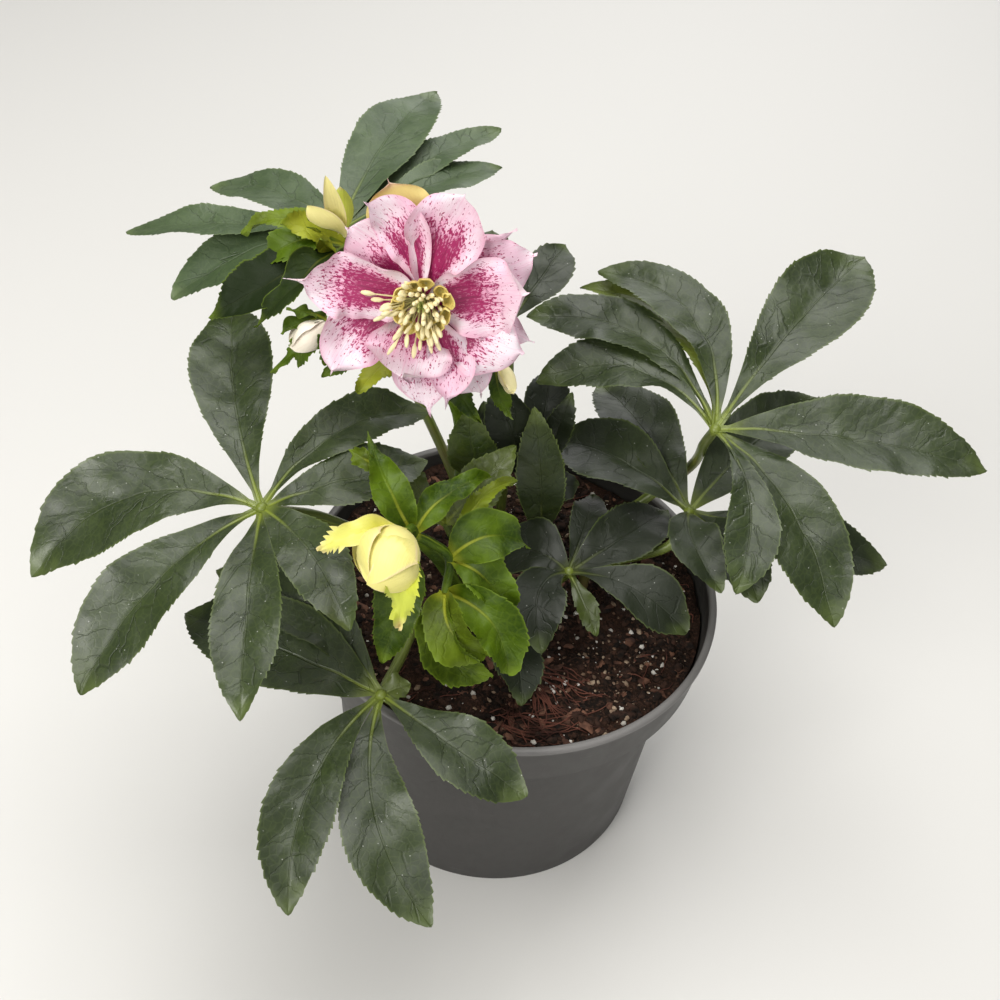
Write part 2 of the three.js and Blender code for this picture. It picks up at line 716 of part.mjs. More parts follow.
// A closed bud: overlapping petals wrapped round an egg-shaped middle.
function bud([name, { foot, points, long, radius, across, frills = [] }]) {
  const egg = new THREE.SphereGeometry(1, 7, 5).rotateX(Math.PI / 2);
  egg.scale(radius * 0.55, radius * 0.55, long * 0.36).translate(0, 0, long * 0.36);
  const wraps = [...Array(across).keys()].map((k) => {
    const turn = (2 * Math.PI * k) / across;
    const out = [Math.cos(turn), Math.sin(turn), 0];
    const from = [out[0] * 0.8, out[1] * 0.8, 0.6];
    const to = [-out[0] * 0.6, -out[1] * 0.6, long * (1 - 0.02 * k)];
    const arch = radius * 0.92;
    const wide = (radius * 8.6) / across;
    return blade({ ...WRAP, from, to, face: out, arch, wide, across });
  });
  const turn = new THREE.Quaternion().setFromUnitVectors(UP, vector(points).normalize());
  const matrix = new THREE.Matrix4().compose(vector(foot), turn, new THREE.Vector3(1, 1, 1));
  const ball = fuse([solidOf(egg), ...wraps]).transform(matrix.elements);
  const extra = frills.map(([to, arch, sway, wide, face]) =>
    blade({ ...BRACT, from: foot, to, arch, sway, wide, face }),
  );
  return piece(name, fuse([ball, ...extra]), FINISH.cream);
}

// The opening bud: loose petals that stand up from one foot.
function budTwoPetals() {
  const blades = BUD_TWO_PETALS.map(([to, arch, sway, wide, face]) =>
    blade({ ...PETAL, from: BUD_TWO_FOOT, to, arch, sway, wide, face }),
  );
  return piece('bud_two_petals', fuse(blades), FINISH.cream);
}

// ---------------------------------------------------------------- the whole plant

const hellebore = new THREE.Group();
hellebore.add(pot());
Object.entries(LEAVES).flatMap(leafPieces).forEach((mesh) => hellebore.add(mesh));
Object.entries(YOUNG).map(youngLeaf).forEach((mesh) => hellebore.add(mesh));
hellebore.add(flower());
hellebore.add(flowerStem());
hellebore.add(budOneStem());
Object.entries(BUDS).map(bud).forEach((mesh) => hellebore.add(mesh));
hellebore.add(budTwoPetals());
hellebore.add(compost());

export default hellebore;
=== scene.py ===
# %% [markdown]
# # A flowering hellebore in a nursery pot
#
# The plant is built on a model that already fixes where every leaf, stem and bud is.  That model is
# coarse on purpose.  Here each leaf gets its fine toothed margin, its veins and its gloss, and the
# flower its speckles.  Everything is measured in millimetres and scaled to metres at the end.

# %% Load the frame and the tools
import math
import random
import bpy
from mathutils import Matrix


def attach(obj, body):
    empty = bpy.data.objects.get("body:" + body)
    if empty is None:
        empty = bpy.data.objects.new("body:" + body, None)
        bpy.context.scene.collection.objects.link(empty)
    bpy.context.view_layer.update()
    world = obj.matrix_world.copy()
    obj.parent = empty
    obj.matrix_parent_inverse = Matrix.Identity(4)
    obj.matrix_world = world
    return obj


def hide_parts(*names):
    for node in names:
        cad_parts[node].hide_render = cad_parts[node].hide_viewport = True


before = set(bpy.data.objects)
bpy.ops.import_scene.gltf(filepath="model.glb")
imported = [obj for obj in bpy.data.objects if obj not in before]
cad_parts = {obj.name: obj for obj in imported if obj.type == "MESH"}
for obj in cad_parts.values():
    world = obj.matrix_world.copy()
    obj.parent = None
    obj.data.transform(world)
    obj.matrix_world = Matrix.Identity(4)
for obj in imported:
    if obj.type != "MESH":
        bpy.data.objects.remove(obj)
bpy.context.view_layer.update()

from types import SimpleNamespace

import bmesh
import bpy
from mathutils import Matrix, Quaternion, Vector, noise

MM = 0.001
print("nodes in the frame:", len(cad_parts))

# %% [markdown]
# ## The camera
#
# A camera looks along its own -Z axis.  Its matrix holds three unit vectors as columns: what is right,
# what is up and what is behind.  Writing them down places the camera exactly, which no pair of angles
# does as clearly when the camera is rolled a little.

# %% Camera
CAMERA_PLACE = (-0.0088, -0.3458, 0.5080)
RIGHTWARD = Vector((0.99334357, 0.08071984, 0.08217573))
AHEAD = Vector((0.0, 0.71339812, -0.70075896)).normalized()


def add_object(name, data):
    """Puts a new object into the scene, unturned at the origin."""
    thing = bpy.data.objects.new(name, data)
    bpy.context.scene.collection.objects.link(thing)
    return thing


camera = add_object("camera", bpy.data.cameras.new("camera"))
camera.data.lens = 45
camera.data.sensor_width = 36
camera.data.clip_start = 0.01
right = (RIGHTWARD - AHEAD * RIGHTWARD.dot(AHEAD)).normalized()
turn = Matrix((right, right.cross(AHEAD), -AHEAD)).transposed()
camera.matrix_world = Matrix.Translation(CAMERA_PLACE) @ turn.to_4x4()
bpy.context.scene.camera = camera
print("camera looks down by", round(math.degrees(math.asin(-AHEAD.z)), 1), "degrees")

# %% [markdown]
# ## The studio
#
# Leaves are glossy, so what they reflect matters as much as what lights them.  Large area lights give
# wide soft reflections, like an overcast sky does.  A small lamp would give hard white dots.

# %% Floor and lights
# Where each square light stands, its side, its power and its colour.
LIGHTS = {
    "sky": ((-0.05, 0.2, 1.5), 1.2, 18, (1.0, 0.99, 0.96)),
    "window": ((-0.8, -1.1, 1.1), 0.8, 18, (1.0, 0.985, 0.95)),
    "front_fill": ((0.5, -1.4, 0.7), 1.0, 6, (1, 1, 1)),
    "rear_fill": ((0.3, 1.5, 0.9), 1.2, 9, (1, 1, 1)),
}
LIT_POINT = Vector((0, 0, 0.18))


def to_mesh(bm, name):
    """Turns an edited mesh into one that an object can show."""
    mesh = bpy.data.meshes.new(name)
    bm.to_mesh(mesh)
    bm.free()
    return mesh


bm = bmesh.new()
bmesh.ops.create_grid(bm, x_segments=1, y_segments=1, size=3.0)
floor = add_object("floor", to_mesh(bm, "floor"))

floor_finish = bpy.data.materials.new("floor")
floor_finish.use_nodes = True
floor_shader = floor_finish.node_tree.nodes["Principled BSDF"]
floor_shader.inputs["Base Color"].default_value = (0.72, 0.71, 0.69, 1)
floor_shader.inputs["Roughness"].default_value = 0.7
floor.data.materials.append(floor_finish)

for name, (place, size, power, colour) in LIGHTS.items():
    light = add_object(name, bpy.data.lights.new(name, "AREA"))
    light.data.size = size
    light.data.energy = power
    light.data.color = colour
    light.location = place
    light.rotation_euler = (LIT_POINT - Vector(place)).to_track_quat("-Z", "Y").to_euler()

world = bpy.data.worlds.new("studio")
world.use_nodes = True
world.node_tree.nodes["Background"].inputs["Color"].default_value = (0.95, 0.94, 0.9, 1)
world.node_tree.nodes["Background"].inputs["Strength"].default_value = 0.15
bpy.context.scene.world = world
bpy.context.scene.view_settings.view_transform = "Standard"
print("lights:", list(LIGHTS))

# %% [markdown]
# ## Sums of shader values
#
# A material is a graph of nodes, and most of it is arithmetic.  Wrapping an output socket in a small
# class lets Python's own signs add the nodes: `a * 0.5 + b` makes a multiply node and an add node.  So
# a pattern can be written, and read, like a sum.

# %% Values and nodes


class Value:
    """An output socket that takes part in sums; each operation adds one maths node."""

    def __init__(self, socket):
        self.socket, self.tree = socket, socket.id_data

    def __add__(self, other):
        return maths("ADD", self, other)

    def __sub__(self, other):
        return maths("SUBTRACT", self, other)

    def __mul__(self, other):
        return maths("MULTIPLY", self, other)

    def __truediv__(self, other):
        return maths("DIVIDE", self, other)

    def __abs__(self):
        return maths("ABSOLUTE", self)


def feed(socket, value):
    """Links an input socket to a value, or sets its own number or colour."""
    if isinstance(value, Value):
        value.tree.links.new(value.socket, socket)
    else:
        socket.default_value = (*value, 1) if socket.type == "RGBA" else value


def add_node(tree, kind, inputs, output=0, **settings):
    """Adds a node, feeds its inputs by name or place, and gives one of its outputs."""
    node = tree.nodes.new("ShaderNode" + kind)
    for name, value in settings.items():
        setattr(node, name, value)
    for key, value in inputs.items():
        feed(node.inputs[key], value)
    return Value(node.outputs[output])


def maths(operation, *values, clamp=False):
    return add_node(values[0].tree, "Math", dict(enumerate(values)), operation=operation, use_clamp=clamp)


def clamped(value, factor=1.0):
    """A value times a factor, kept between 0 and 1."""
    return maths("MULTIPLY", value, factor, clamp=True)


def split(vector):
    """The three numbers of a vector."""
    node = vector.tree.nodes.new("ShaderNodeSeparateXYZ")
    feed(node.inputs[0], vector)
    return [Value(socket) for socket in node.outputs]


def join(*numbers):
    return add_node(numbers[0].tree, "CombineXYZ", dict(enumerate(numbers)))


print("a value can be added, subtracted, multiplied, divided and made positive")

# %% [markdown]
# ## A small set of patterns
#
# Noise, cells, an eased ramp and a mix of two colours are enough for every surface here.  Leaves and
# petals read the pattern places that their own points carry; the pot and the compost read their place
# in the object.  Neither depends on where the camera or the floor is.  A colour is built in layers, as
# paint is: a base, and over it one share of colour after another.

# %% Patterns and finishes


def ramp(value, low, high, bottom=0.0, top=1.0):
    """Eases from bottom to top while the value goes from low to high."""
    numbers = dict(enumerate((value, low, high, bottom, top)))
    return add_node(value.tree, "MapRange", numbers, interpolation_type="SMOOTHSTEP")


def blend(share, first, second):
    """Mixes two colours."""
    return add_node(share.tree, "Mix", {0: share, 6: first, 7: second}, 2, data_type="RGBA")


def layered(base, *layers):
    """Lays colours over a base one after another; each layer is a share and a colour."""
    for share, colour in layers:
        base = blend(share, base, colour)
    return base


def shade(colour, share):
    """A darker colour of the same hue."""
    return [share * value for value in colour]


def cloud(vector, scale, detail=2.0, roughness=0.5):
    """Soft noise from 0 to 1."""
    inputs = dict(Vector=vector, Scale=scale, Detail=detail, Roughness=roughness)
    return add_node(vector.tree, "TexNoise", inputs, "Fac")


def cells(vector, scale, feature="F1", looseness=1.0):
    """Distance to the nearest cell middle, or to the nearest cell wall."""
    inputs = dict(Vector=vector, Scale=scale, Randomness=looseness)
    return add_node(vector.tree, "TexVoronoi", inputs, "Distance", feature=feature)


def stretch(vector, factors):
    return add_node(vector.tree, "VectorMath", {0: vector, 1: factors}, operation="MULTIPLY")


def read(tree, name, output="Vector"):
    """A value that the mesh carries at its own points."""
    return add_node(tree, "Attribute", {}, output, attribute_name=name)


def object_place(tree):
    """The place in the object, in metres."""
    return add_node(tree, "TexCoord", {}, "Object")


def bump(height, distance, strength):
    return add_node(height.tree, "Bump", dict(Strength=strength, Distance=distance, Height=height), "Normal")


def paint(node, **values):
    """Feeds a node's inputs by name; an underscore stands for a space."""
    for name, value in values.items():
        feed(node.inputs[name.replace("_", " ")], value)


FINISHES = {}


def new_finish(name, **constants):
    """Keeps a new material under its name, and gives its node tree and its shader."""
    finish = FINISHES[name] = bpy.data.materials.new(name)
    finish.use_nodes = True
    shader = finish.node_tree.nodes["Principled BSDF"]
    paint(shader, **constants)
    return finish.node_tree, shader


print("patterns:", [helper.__name__ for helper in (ramp, layered, cloud, cells, stretch, bump)])

# %% [markdown]
# ## Veins
#
# A hellebore leaflet has one strong midrib, side veins that leave it forwards like a herringbone, and a
# fine net between them.  The pattern follows the blade and not the room, so each blade carries two
# vectors: `flat`, its own millimetres across and along, and `part`, its shares across and along with
# a mark for the underside.  One group turns them into masks, and all the green finishes use it.

# %% Vein group
VEIN_INPUTS = dict(Flat="NodeSocketVector", Part="NodeSocketVector", Spacing="NodeSocketFloat")
# How far a side vein runs forwards for each millimetre outwards.
FORWARD = 0.9

veins = bpy.data.node_groups.new("blade_veins", "ShaderNodeTree")
for socket, kind in VEIN_INPUTS.items():
    veins.interface.new_socket(socket, in_out="INPUT", socket_type=kind)
for socket in ("Main", "Side", "Net", "Relief"):
    veins.interface.new_socket(socket, in_out="OUTPUT", socket_type="NodeSocketFloat")
entry = veins.nodes.new("NodeGroupInput")
flat, part, spacing = [Value(entry.outputs[socket]) for socket in VEIN_INPUTS]

across, along, seed = split(flat)
part_across, part_along, _ = split(part)
away = abs(across)
main = ramp(away / (part_along * -0.7 + 0.9), 0.3, 1.0, 1.0, 0.0)
drift = (cloud(flat, 0.16, 3.0) - 0.5) * 9.0
course = (along - away * FORWARD + drift) / spacing
outwards = (drift * 0.5 + across) / spacing
beside = cells(join(outwards * 0.45, course, seed), 1.0, "DISTANCE_TO_EDGE", 0.75) * spacing
inside = ramp(abs(part_across), 0.7, 0.95, 1.0, 0.0)
shown = ramp(cloud(flat, 0.05, 1.0), 0.36, 0.56, 0.25, 1.0)
side = ramp(beside, 0.04, 0.24, 1.0, 0.0) * (inside * shown)
net = ramp(cells(flat, 0.38, "DISTANCE_TO_EDGE"), 0.0, 0.13, 1.0, 0.0)
blisters = cloud(flat, 0.28, 1.0) * ramp(cloud(flat, 0.035, 1.0), 0.48, 0.68, 0.0, 1.1)
relief = ramp(beside, 0.2, 3.2) * 0.45 + blisters - side * 0.6 - net * 0.06 - main * 0.7

paint(veins.nodes.new("NodeGroupOutput"), Main=main, Side=side, Net=net, Relief=relief)
print("vein group:", len(veins.nodes), "nodes")

# %% [markdown]
# ## Green finishes
#
# The old leaves are dark and satin, the young ones and the bracts are fresher and thinner.  They share
# one recipe: a base green that drifts, paler veins with painted shade in the side-vein grooves, a
# yellow-green foot and margin, a dull pale underside, and a clear waxy coat on top.  Blades that lie in
# the shade of others are darkened all over with painted shade.

# %% Leaf recipe
DUST = (0.75, 0.76, 0.7)


def blade_values(tree):
    """What each point of a blade carries: millimetres, shares, and its tone."""
    return read(tree, "flat"), read(tree, "part"), read(tree, "tint", "Fac")


def vein_masks(tree, **values):
    """Places the vein group in a material and gives its outputs by name."""
    node = tree.nodes.new("ShaderNodeGroup")
    node.node_tree = veins
    paint(node, **values)
    return {socket.name: Value(socket) for socket in node.outputs}


def leaf_finish(
    name, dark, light, vein, foot, under,
    roughness=0.42, coat=0.16, spacing=9.0, dust=0.0, gloss=0.5, groove_depth_and_shade=0.38, ribbed=0.34,
):
    """A green finish; vein grooves get painted shade, and ribbed is how far up the midrib stays pale."""
    tree, shader = new_finish(name, Coat_Roughness=0.3, Specular_IOR_Level=gloss)
    flat, part, tone = blade_values(tree)
    part_across, part_along, beneath = split(part)
    lines = vein_masks(tree, Flat=flat, Part=part, Spacing=spacing)
    grain = cloud(flat, 1.3, 3.0)
    # How free of painted shade a blade is; lit blades keep their pale midrib, pale foot and coat.
    unshaded = clamped(tone * -0.75 + 1.0)
    tipped = ramp(cloud(flat, 0.15, 2.0) * 0.2 + part_along, 0.95, 1.12)
    green = layered(
        dark,
        (ramp(cloud(flat, 0.06, 3.0), 0.35, 0.65), light),
        (ramp(grain, 0.3, 0.8, 0.0, 0.3), light),
        (lines["Net"] * 0.12, vein),
        # Painted shade in the sunken side-vein grooves.
        (lines["Side"] * groove_depth_and_shade, shade(dark, 0.4)),
        # Painted shade: a positive tone darkens a blade that lies in the shade of others; a negative one is
        # real yellowing.
        (clamped(tone), shade(dark, 0.35)),
        (clamped(tone, -1.0), foot),
        (lines["Main"] * (ramp(part_along, 0.05, ribbed, 0.8, 0.03) * unshaded), foot),
        (ramp(abs(part_across), 0.93, 1.0, 0.0, 0.55), vein),
        (tipped * 0.6, vein),
        (ramp(part_along, 0.0, 0.14, 0.8, 0.0) * unshaded, foot),
        (ramp(cells(flat, 0.3), 0.04, 0.08, dust, 0.0), DUST),
        (beneath * 0.85, under),
    )
    satin = ramp(cloud(flat, 0.1, 2.0), 0.3, 0.7, roughness - 0.06, roughness + 0.1)
    satin = satin + maths("MAXIMUM", tone, 0.0) * 0.14 + beneath * 0.2
    raised = bump(grain * 0.05 + lines["Relief"], 0.0006, 0.42 + 0.5 * groove_depth_and_shade)
    paint(shader, Base_Color=green, Roughness=satin, Coat_Weight=unshaded * coat, Normal=raised)


LEAF_FOOT = (0.2, 0.25, 0.03)
leaf_finish(
    "leaf_dark", (0.019, 0.031, 0.008), (0.033, 0.05, 0.014), (0.11, 0.15, 0.035), LEAF_FOOT,
    (0.1, 0.15, 0.04), dust=0.35,
)
leaf_finish(
    "leaf_pale", (0.04, 0.068, 0.025), (0.065, 0.1, 0.042), (0.14, 0.19, 0.07), LEAF_FOOT,
    (0.15, 0.2, 0.08), roughness=0.5,
)
leaf_finish(
    "leaf_young", (0.022, 0.04, 0.005), (0.05, 0.075, 0.008), (0.15, 0.2, 0.04), (0.2, 0.24, 0.02),
    (0.16, 0.22, 0.05), spacing=6.0, coat=0.1, groove_depth_and_shade=0.25,
)
leaf_finish(
    "bract_green", (0.02, 0.046, 0.001), (0.088, 0.15, 0.003), (0.17, 0.25, 0.02), (0.38, 0.4, 0.03),
    (0.13, 0.2, 0.02), roughness=0.5, coat=0.05, spacing=6.0, gloss=0.24, groove_depth_and_shade=0.12, ribbed=0.62,
)
print("finishes so far:", list(FINISHES))

# %% [markdown]
# ## From a flat grid to a leaf
#
# A blade starts as a flat grid whose columns run from rim to rim and whose rows run from foot to tip.
# Each point is then moved by formulas to its place along a bent midrib.  This keeps teeth and waves
# under control in a way that sculpting one leaf and bending it for each place wouldn't.  In them, u is
# the share of the way from foot to tip, and v runs from -1 at one rim to 1 at the other.

# %% Formulas for a blade
# One tooth, row by row, as shares of its depth, and where teeth can stand: at the rim, short of the tip.
TOOTH = (0, 0.42, 0.75, 1.0)
AT_RIM, AT_TIP = 0.99, 0.995
# How a plain leaflet is made; every other blade says only what is different.  Less plain are body, the
# share of the length that swells; beak, the width of the point beyond that; halves, the width of each
# side; lip, where a side's outer part begins; lips and funnel, the angles by which that part turns up;
# and wrap, the radius of a tube that the blade is bent round.
# On green blades a tint above nought is painted shade and one below nought real yellowing; on petals it ages
# or blushes.
LEAFLET = dict(
    across=12, along=60, widest=0.58, full=0.82, foot=1.6, thick=1.0, fold=0.2, cup=0.0, roll=0.0,
    gap=2.5, tooth=0.65, toothed=0.25, wave=0.9, waves=2.2, pucker=0.1, spacing=9.0,
    body=1.0, beak=0.0, halves=(1.0, 1.0), tint=0.0, lumps=0.8, ruffle=0.0, wrap=0.0,
    lip=0.62, lips=(0.0, 0.0), funnel=(0.0, 0.0),
)


def midrib(start, end, face, arch, sway):
    """A bent line: gives the point and the direction at a share u of the way."""
    chord = end - start
    sideways = chord.cross(face).normalized()
    lift = sideways.cross(chord).normalized()
    bend = (start + end) / 2 + lift * 2 * arch + sideways * 2 * sway

    def at(u):
        point = start * (1 - u) ** 2 + bend * (2 * u * (1 - u)) + end * u**2
        return point, ((bend - start) * (1 - u) + (end - bend) * u).normalized()

    return at


def half_width(shape, wide, u, v):
    """The blade's half width: a swelling with its widest place where asked, then a foot and a beak."""
    eased = min(min(u / shape.body, 1) ** (math.log(0.5) / math.log(shape.widest)), 1.0)
    broad = wide / 2 * max(math.sin(math.pi * eased), 0.0) ** shape.full
    beak = shape.beak * (1 - u) * (u > 0.5)
    return max(shape.foot * (1 - u), broad, beak) * shape.halves[v > 0]


def tooth_at(shape, u, v, teeth, seed):
    """How far the margin stands out here: four rows make one tooth that leans forwards."""
    if not teeth or abs(v) <= AT_RIM or not shape.toothed < u < AT_TIP:
        return 0.0
    size = 0.7 + 0.6 * noise.cell(Vector((math.floor(u * teeth) + 0.5, v, seed + 0.5)))
    step = round(u * len(TOOTH) * teeth) % len(TOOTH)
    return size * shape.tooth * TOOTH[step] * min(1.0, 4 * (1 - u) + 0.35)


def rise_at(shape, u, v, half, long, seed, turns):
    """How high this point lies over the midrib: fold, cup, veins, waves, lumps and ruffles."""
    rim, near_foot = abs(v), min(4 * u, 1)
    lateral = (u * long - FORWARD * rim * half) / shape.spacing
    puckers = (abs(math.cos(math.pi * lateral)) ** 0.7 - 0.6) * min(rim * 3, 1) * min(half / 6, 1)
    waving = math.sin(shape.waves * 2 * math.pi * u + turns[v >= 0]) * rim**2.5
    soft = noise.noise(Vector((v * half * 0.09, u * long * 0.09, seed * 7.1)))
    frill = noise.noise(Vector((math.copysign(3, v), u * long * 0.2, seed * 3.3)))
    rise = half * (shape.fold * rim + shape.cup * v * v)
    rise += shape.wave * waving * near_foot + shape.pucker * puckers
    return rise + shape.lumps * soft * min(half / 5, 1) + shape.ruffle * frill * rim**3 * near_foot


def bow_at(shape, u, v):
    """The angle by which the outer part of the blade turns up: lips all along, funnels near the foot."""
    bow = shape.lips[v > 0] * math.sin(math.pi * min(u * 1.15, 1))
    bow += shape.funnel[v > 0] * math.sin(math.pi * min(u * 1.8, 1))
    return bow * (max(abs(v) - shape.lip, 0) / (1 - shape.lip))


print("a blade has", len(LEAFLET), "measures")

# %% [markdown]
# ## One blade
#
# The formulas bend the grid.  A copy of it, turned over and pulled away in the middle, makes the
# underside.  Both meet at the rims, which are welded, so that the blade is a thin closed lens and its
# edge is sharp.  A Solidify modifier would give it the same thickness everywhere, and a square edge.

# %% Blade mesh


def new_mesh():
    """An empty mesh whose points can carry two pattern vectors and a tone."""
    bm = bmesh.new()
    bm.verts.layers.float_vector.new("flat")
    bm.verts.layers.float_vector.new("part")
    bm.verts.layers.float.new("tint")
    return bm


def carried(bm):
    vectors = bm.verts.layers.float_vector
    return vectors["flat"], vectors["part"], bm.verts.layers.float["tint"]


def only(kind, items):
    return [item for item in items if isinstance(item, kind)]


def add_blade(bm, start, end, arch, sway, wide, face, seed, **changes):
    """Adds one closed blade to a mesh, in millimetres."""
    shape = SimpleNamespace(**{**LEAFLET, **changes})
    start, end, face = Vector(start), Vector(end), Vector(face).normalized()
    at = midrib(start, end, face, arch, sway)
    long = (end - start).length
    teeth = round(long / shape.gap) if shape.tooth else 0
    rows = len(TOOTH) * teeth if teeth else shape.along
    flat, part, tint = carried(bm)
    dice = random.Random(seed)
    turns = [dice.uniform(0, 2 * math.pi) for _ in range(2)]
    skin = bmesh.ops.create_grid(bm, x_segments=shape.across, y_segments=rows, size=0.5)["verts"]
    bulges = {}
    for vert in skin:
        v, u = 2 * vert.co.x, vert.co.y + 0.5
        point, tangent = at(u)
        side = Quaternion(tangent, math.radians(shape.roll)) @ tangent.cross(face).normalized()
        upright = normal = side.cross(tangent)
        half = half_width(shape, wide, u, v)
        tooth = tooth_at(shape, u, v, teeth, seed)
        rise = rise_at(shape, u, v, half, long, seed, turns)
        reach = v * half + math.copysign(tooth, v)
        bow = bow_at(shape, u, v)
        if abs(bow) > 1e-3:
            spread = (abs(v) - shape.lip) * half
            reach = math.copysign(shape.lip * half + spread * math.sin(bow) / bow, v)
            rise += spread * (1 - math.cos(bow)) / bow
            normal = normal * math.cos(bow) - side * math.copysign(math.sin(bow), v)
        if shape.wrap:
            bow = v * half / shape.wrap
            reach = shape.wrap * math.sin(bow)
            rise -= shape.wrap * (1 - math.cos(bow))
            normal = normal * math.cos(bow) + side * math.sin(bow)
        vert[flat] = (v * half, u * long, seed * 13.7)
        vert[part] = (v, u, 0.0)
        vert[tint] = shape.tint
        vert.co = point + side * reach + upright * rise + tangent * tooth * 0.7
        bulges[vert] = normal * (shape.thick * (1 - v * v) * min(1.0, 6 * (1 - u)))
    faces = list(dict.fromkeys(face for vert in skin for face in vert.link_faces))
    copied = bmesh.ops.duplicate(bm, geom=skin + faces)
    bmesh.ops.reverse_faces(bm, faces=only(bmesh.types.BMFace, copied["geom"]))
    for vert, bulge in bulges.items():
        under = copied["vert_map"][vert]
        under.co -= bulge
        if bulge.length > 1e-6:
            under[part] = (vert[part].x, vert[part].y, 1.0)
    below = only(bmesh.types.BMVert, copied["geom"])
    bmesh.ops.remove_doubles(bm, verts=skin + below, dist=1e-4)


def add_blades(bm, rows, seed, common):
    """A blade for each row: foot, tip, arch, sway, width, facing, and what is special about it."""
    for k, (*row, special) in enumerate(rows):
        add_blade(bm, *row, seed + k, **{**common, **special})


trial = new_mesh()
add_blade(trial, (0, 0, 0), (0, 60, 0), 5, 0, 25, (0, 0, 1), 1)
print("a blade 60 mm long has", len(trial.faces), "faces")
trial.free()

# %% [markdown]
# ## From a mesh to a piece
#
# Every mesh ends in the same way.  Its open ends are filled, its faces are turned outwards, sharp edges
# are told from smooth ones, and millimetres become metres.  It then gets its finish, and the parts of the
# coarse model that it replaces are hidden.  One function does this for all, so that no piece is left out.

# %% Finishing a piece
# Two faces that meet at a larger angle than this, in radians, keep a sharp edge.
SHARP = 1.1


def finish_piece(bm, name, look, *nodes, slot=None):
    """Turns a mesh in millimetres into a piece in the named look, which stands for the named nodes."""
    bmesh.ops.holes_fill(bm, edges=bm.edges, sides=0)
    bmesh.ops.recalc_face_normals(bm, faces=bm.faces)
    for edge in bm.edges:
        edge.smooth = len(edge.link_faces) != 2 or edge.calc_face_angle() < SHARP
    for face in bm.faces:
        face.smooth = True
    bm.transform(Matrix.Scale(MM, 4))
    piece = add_object(name, to_mesh(bm, name))
    piece.data.materials.append(FINISHES[look])
    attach(piece, "root")
    if nodes:
        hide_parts(*nodes)
    print(f"{name}: {sum(len(face.vertices) - 2 for face in piece.data.polygons)} triangles")
    return piece


print("edges stay sharp from", round(math.degrees(SHARP)), "degrees")
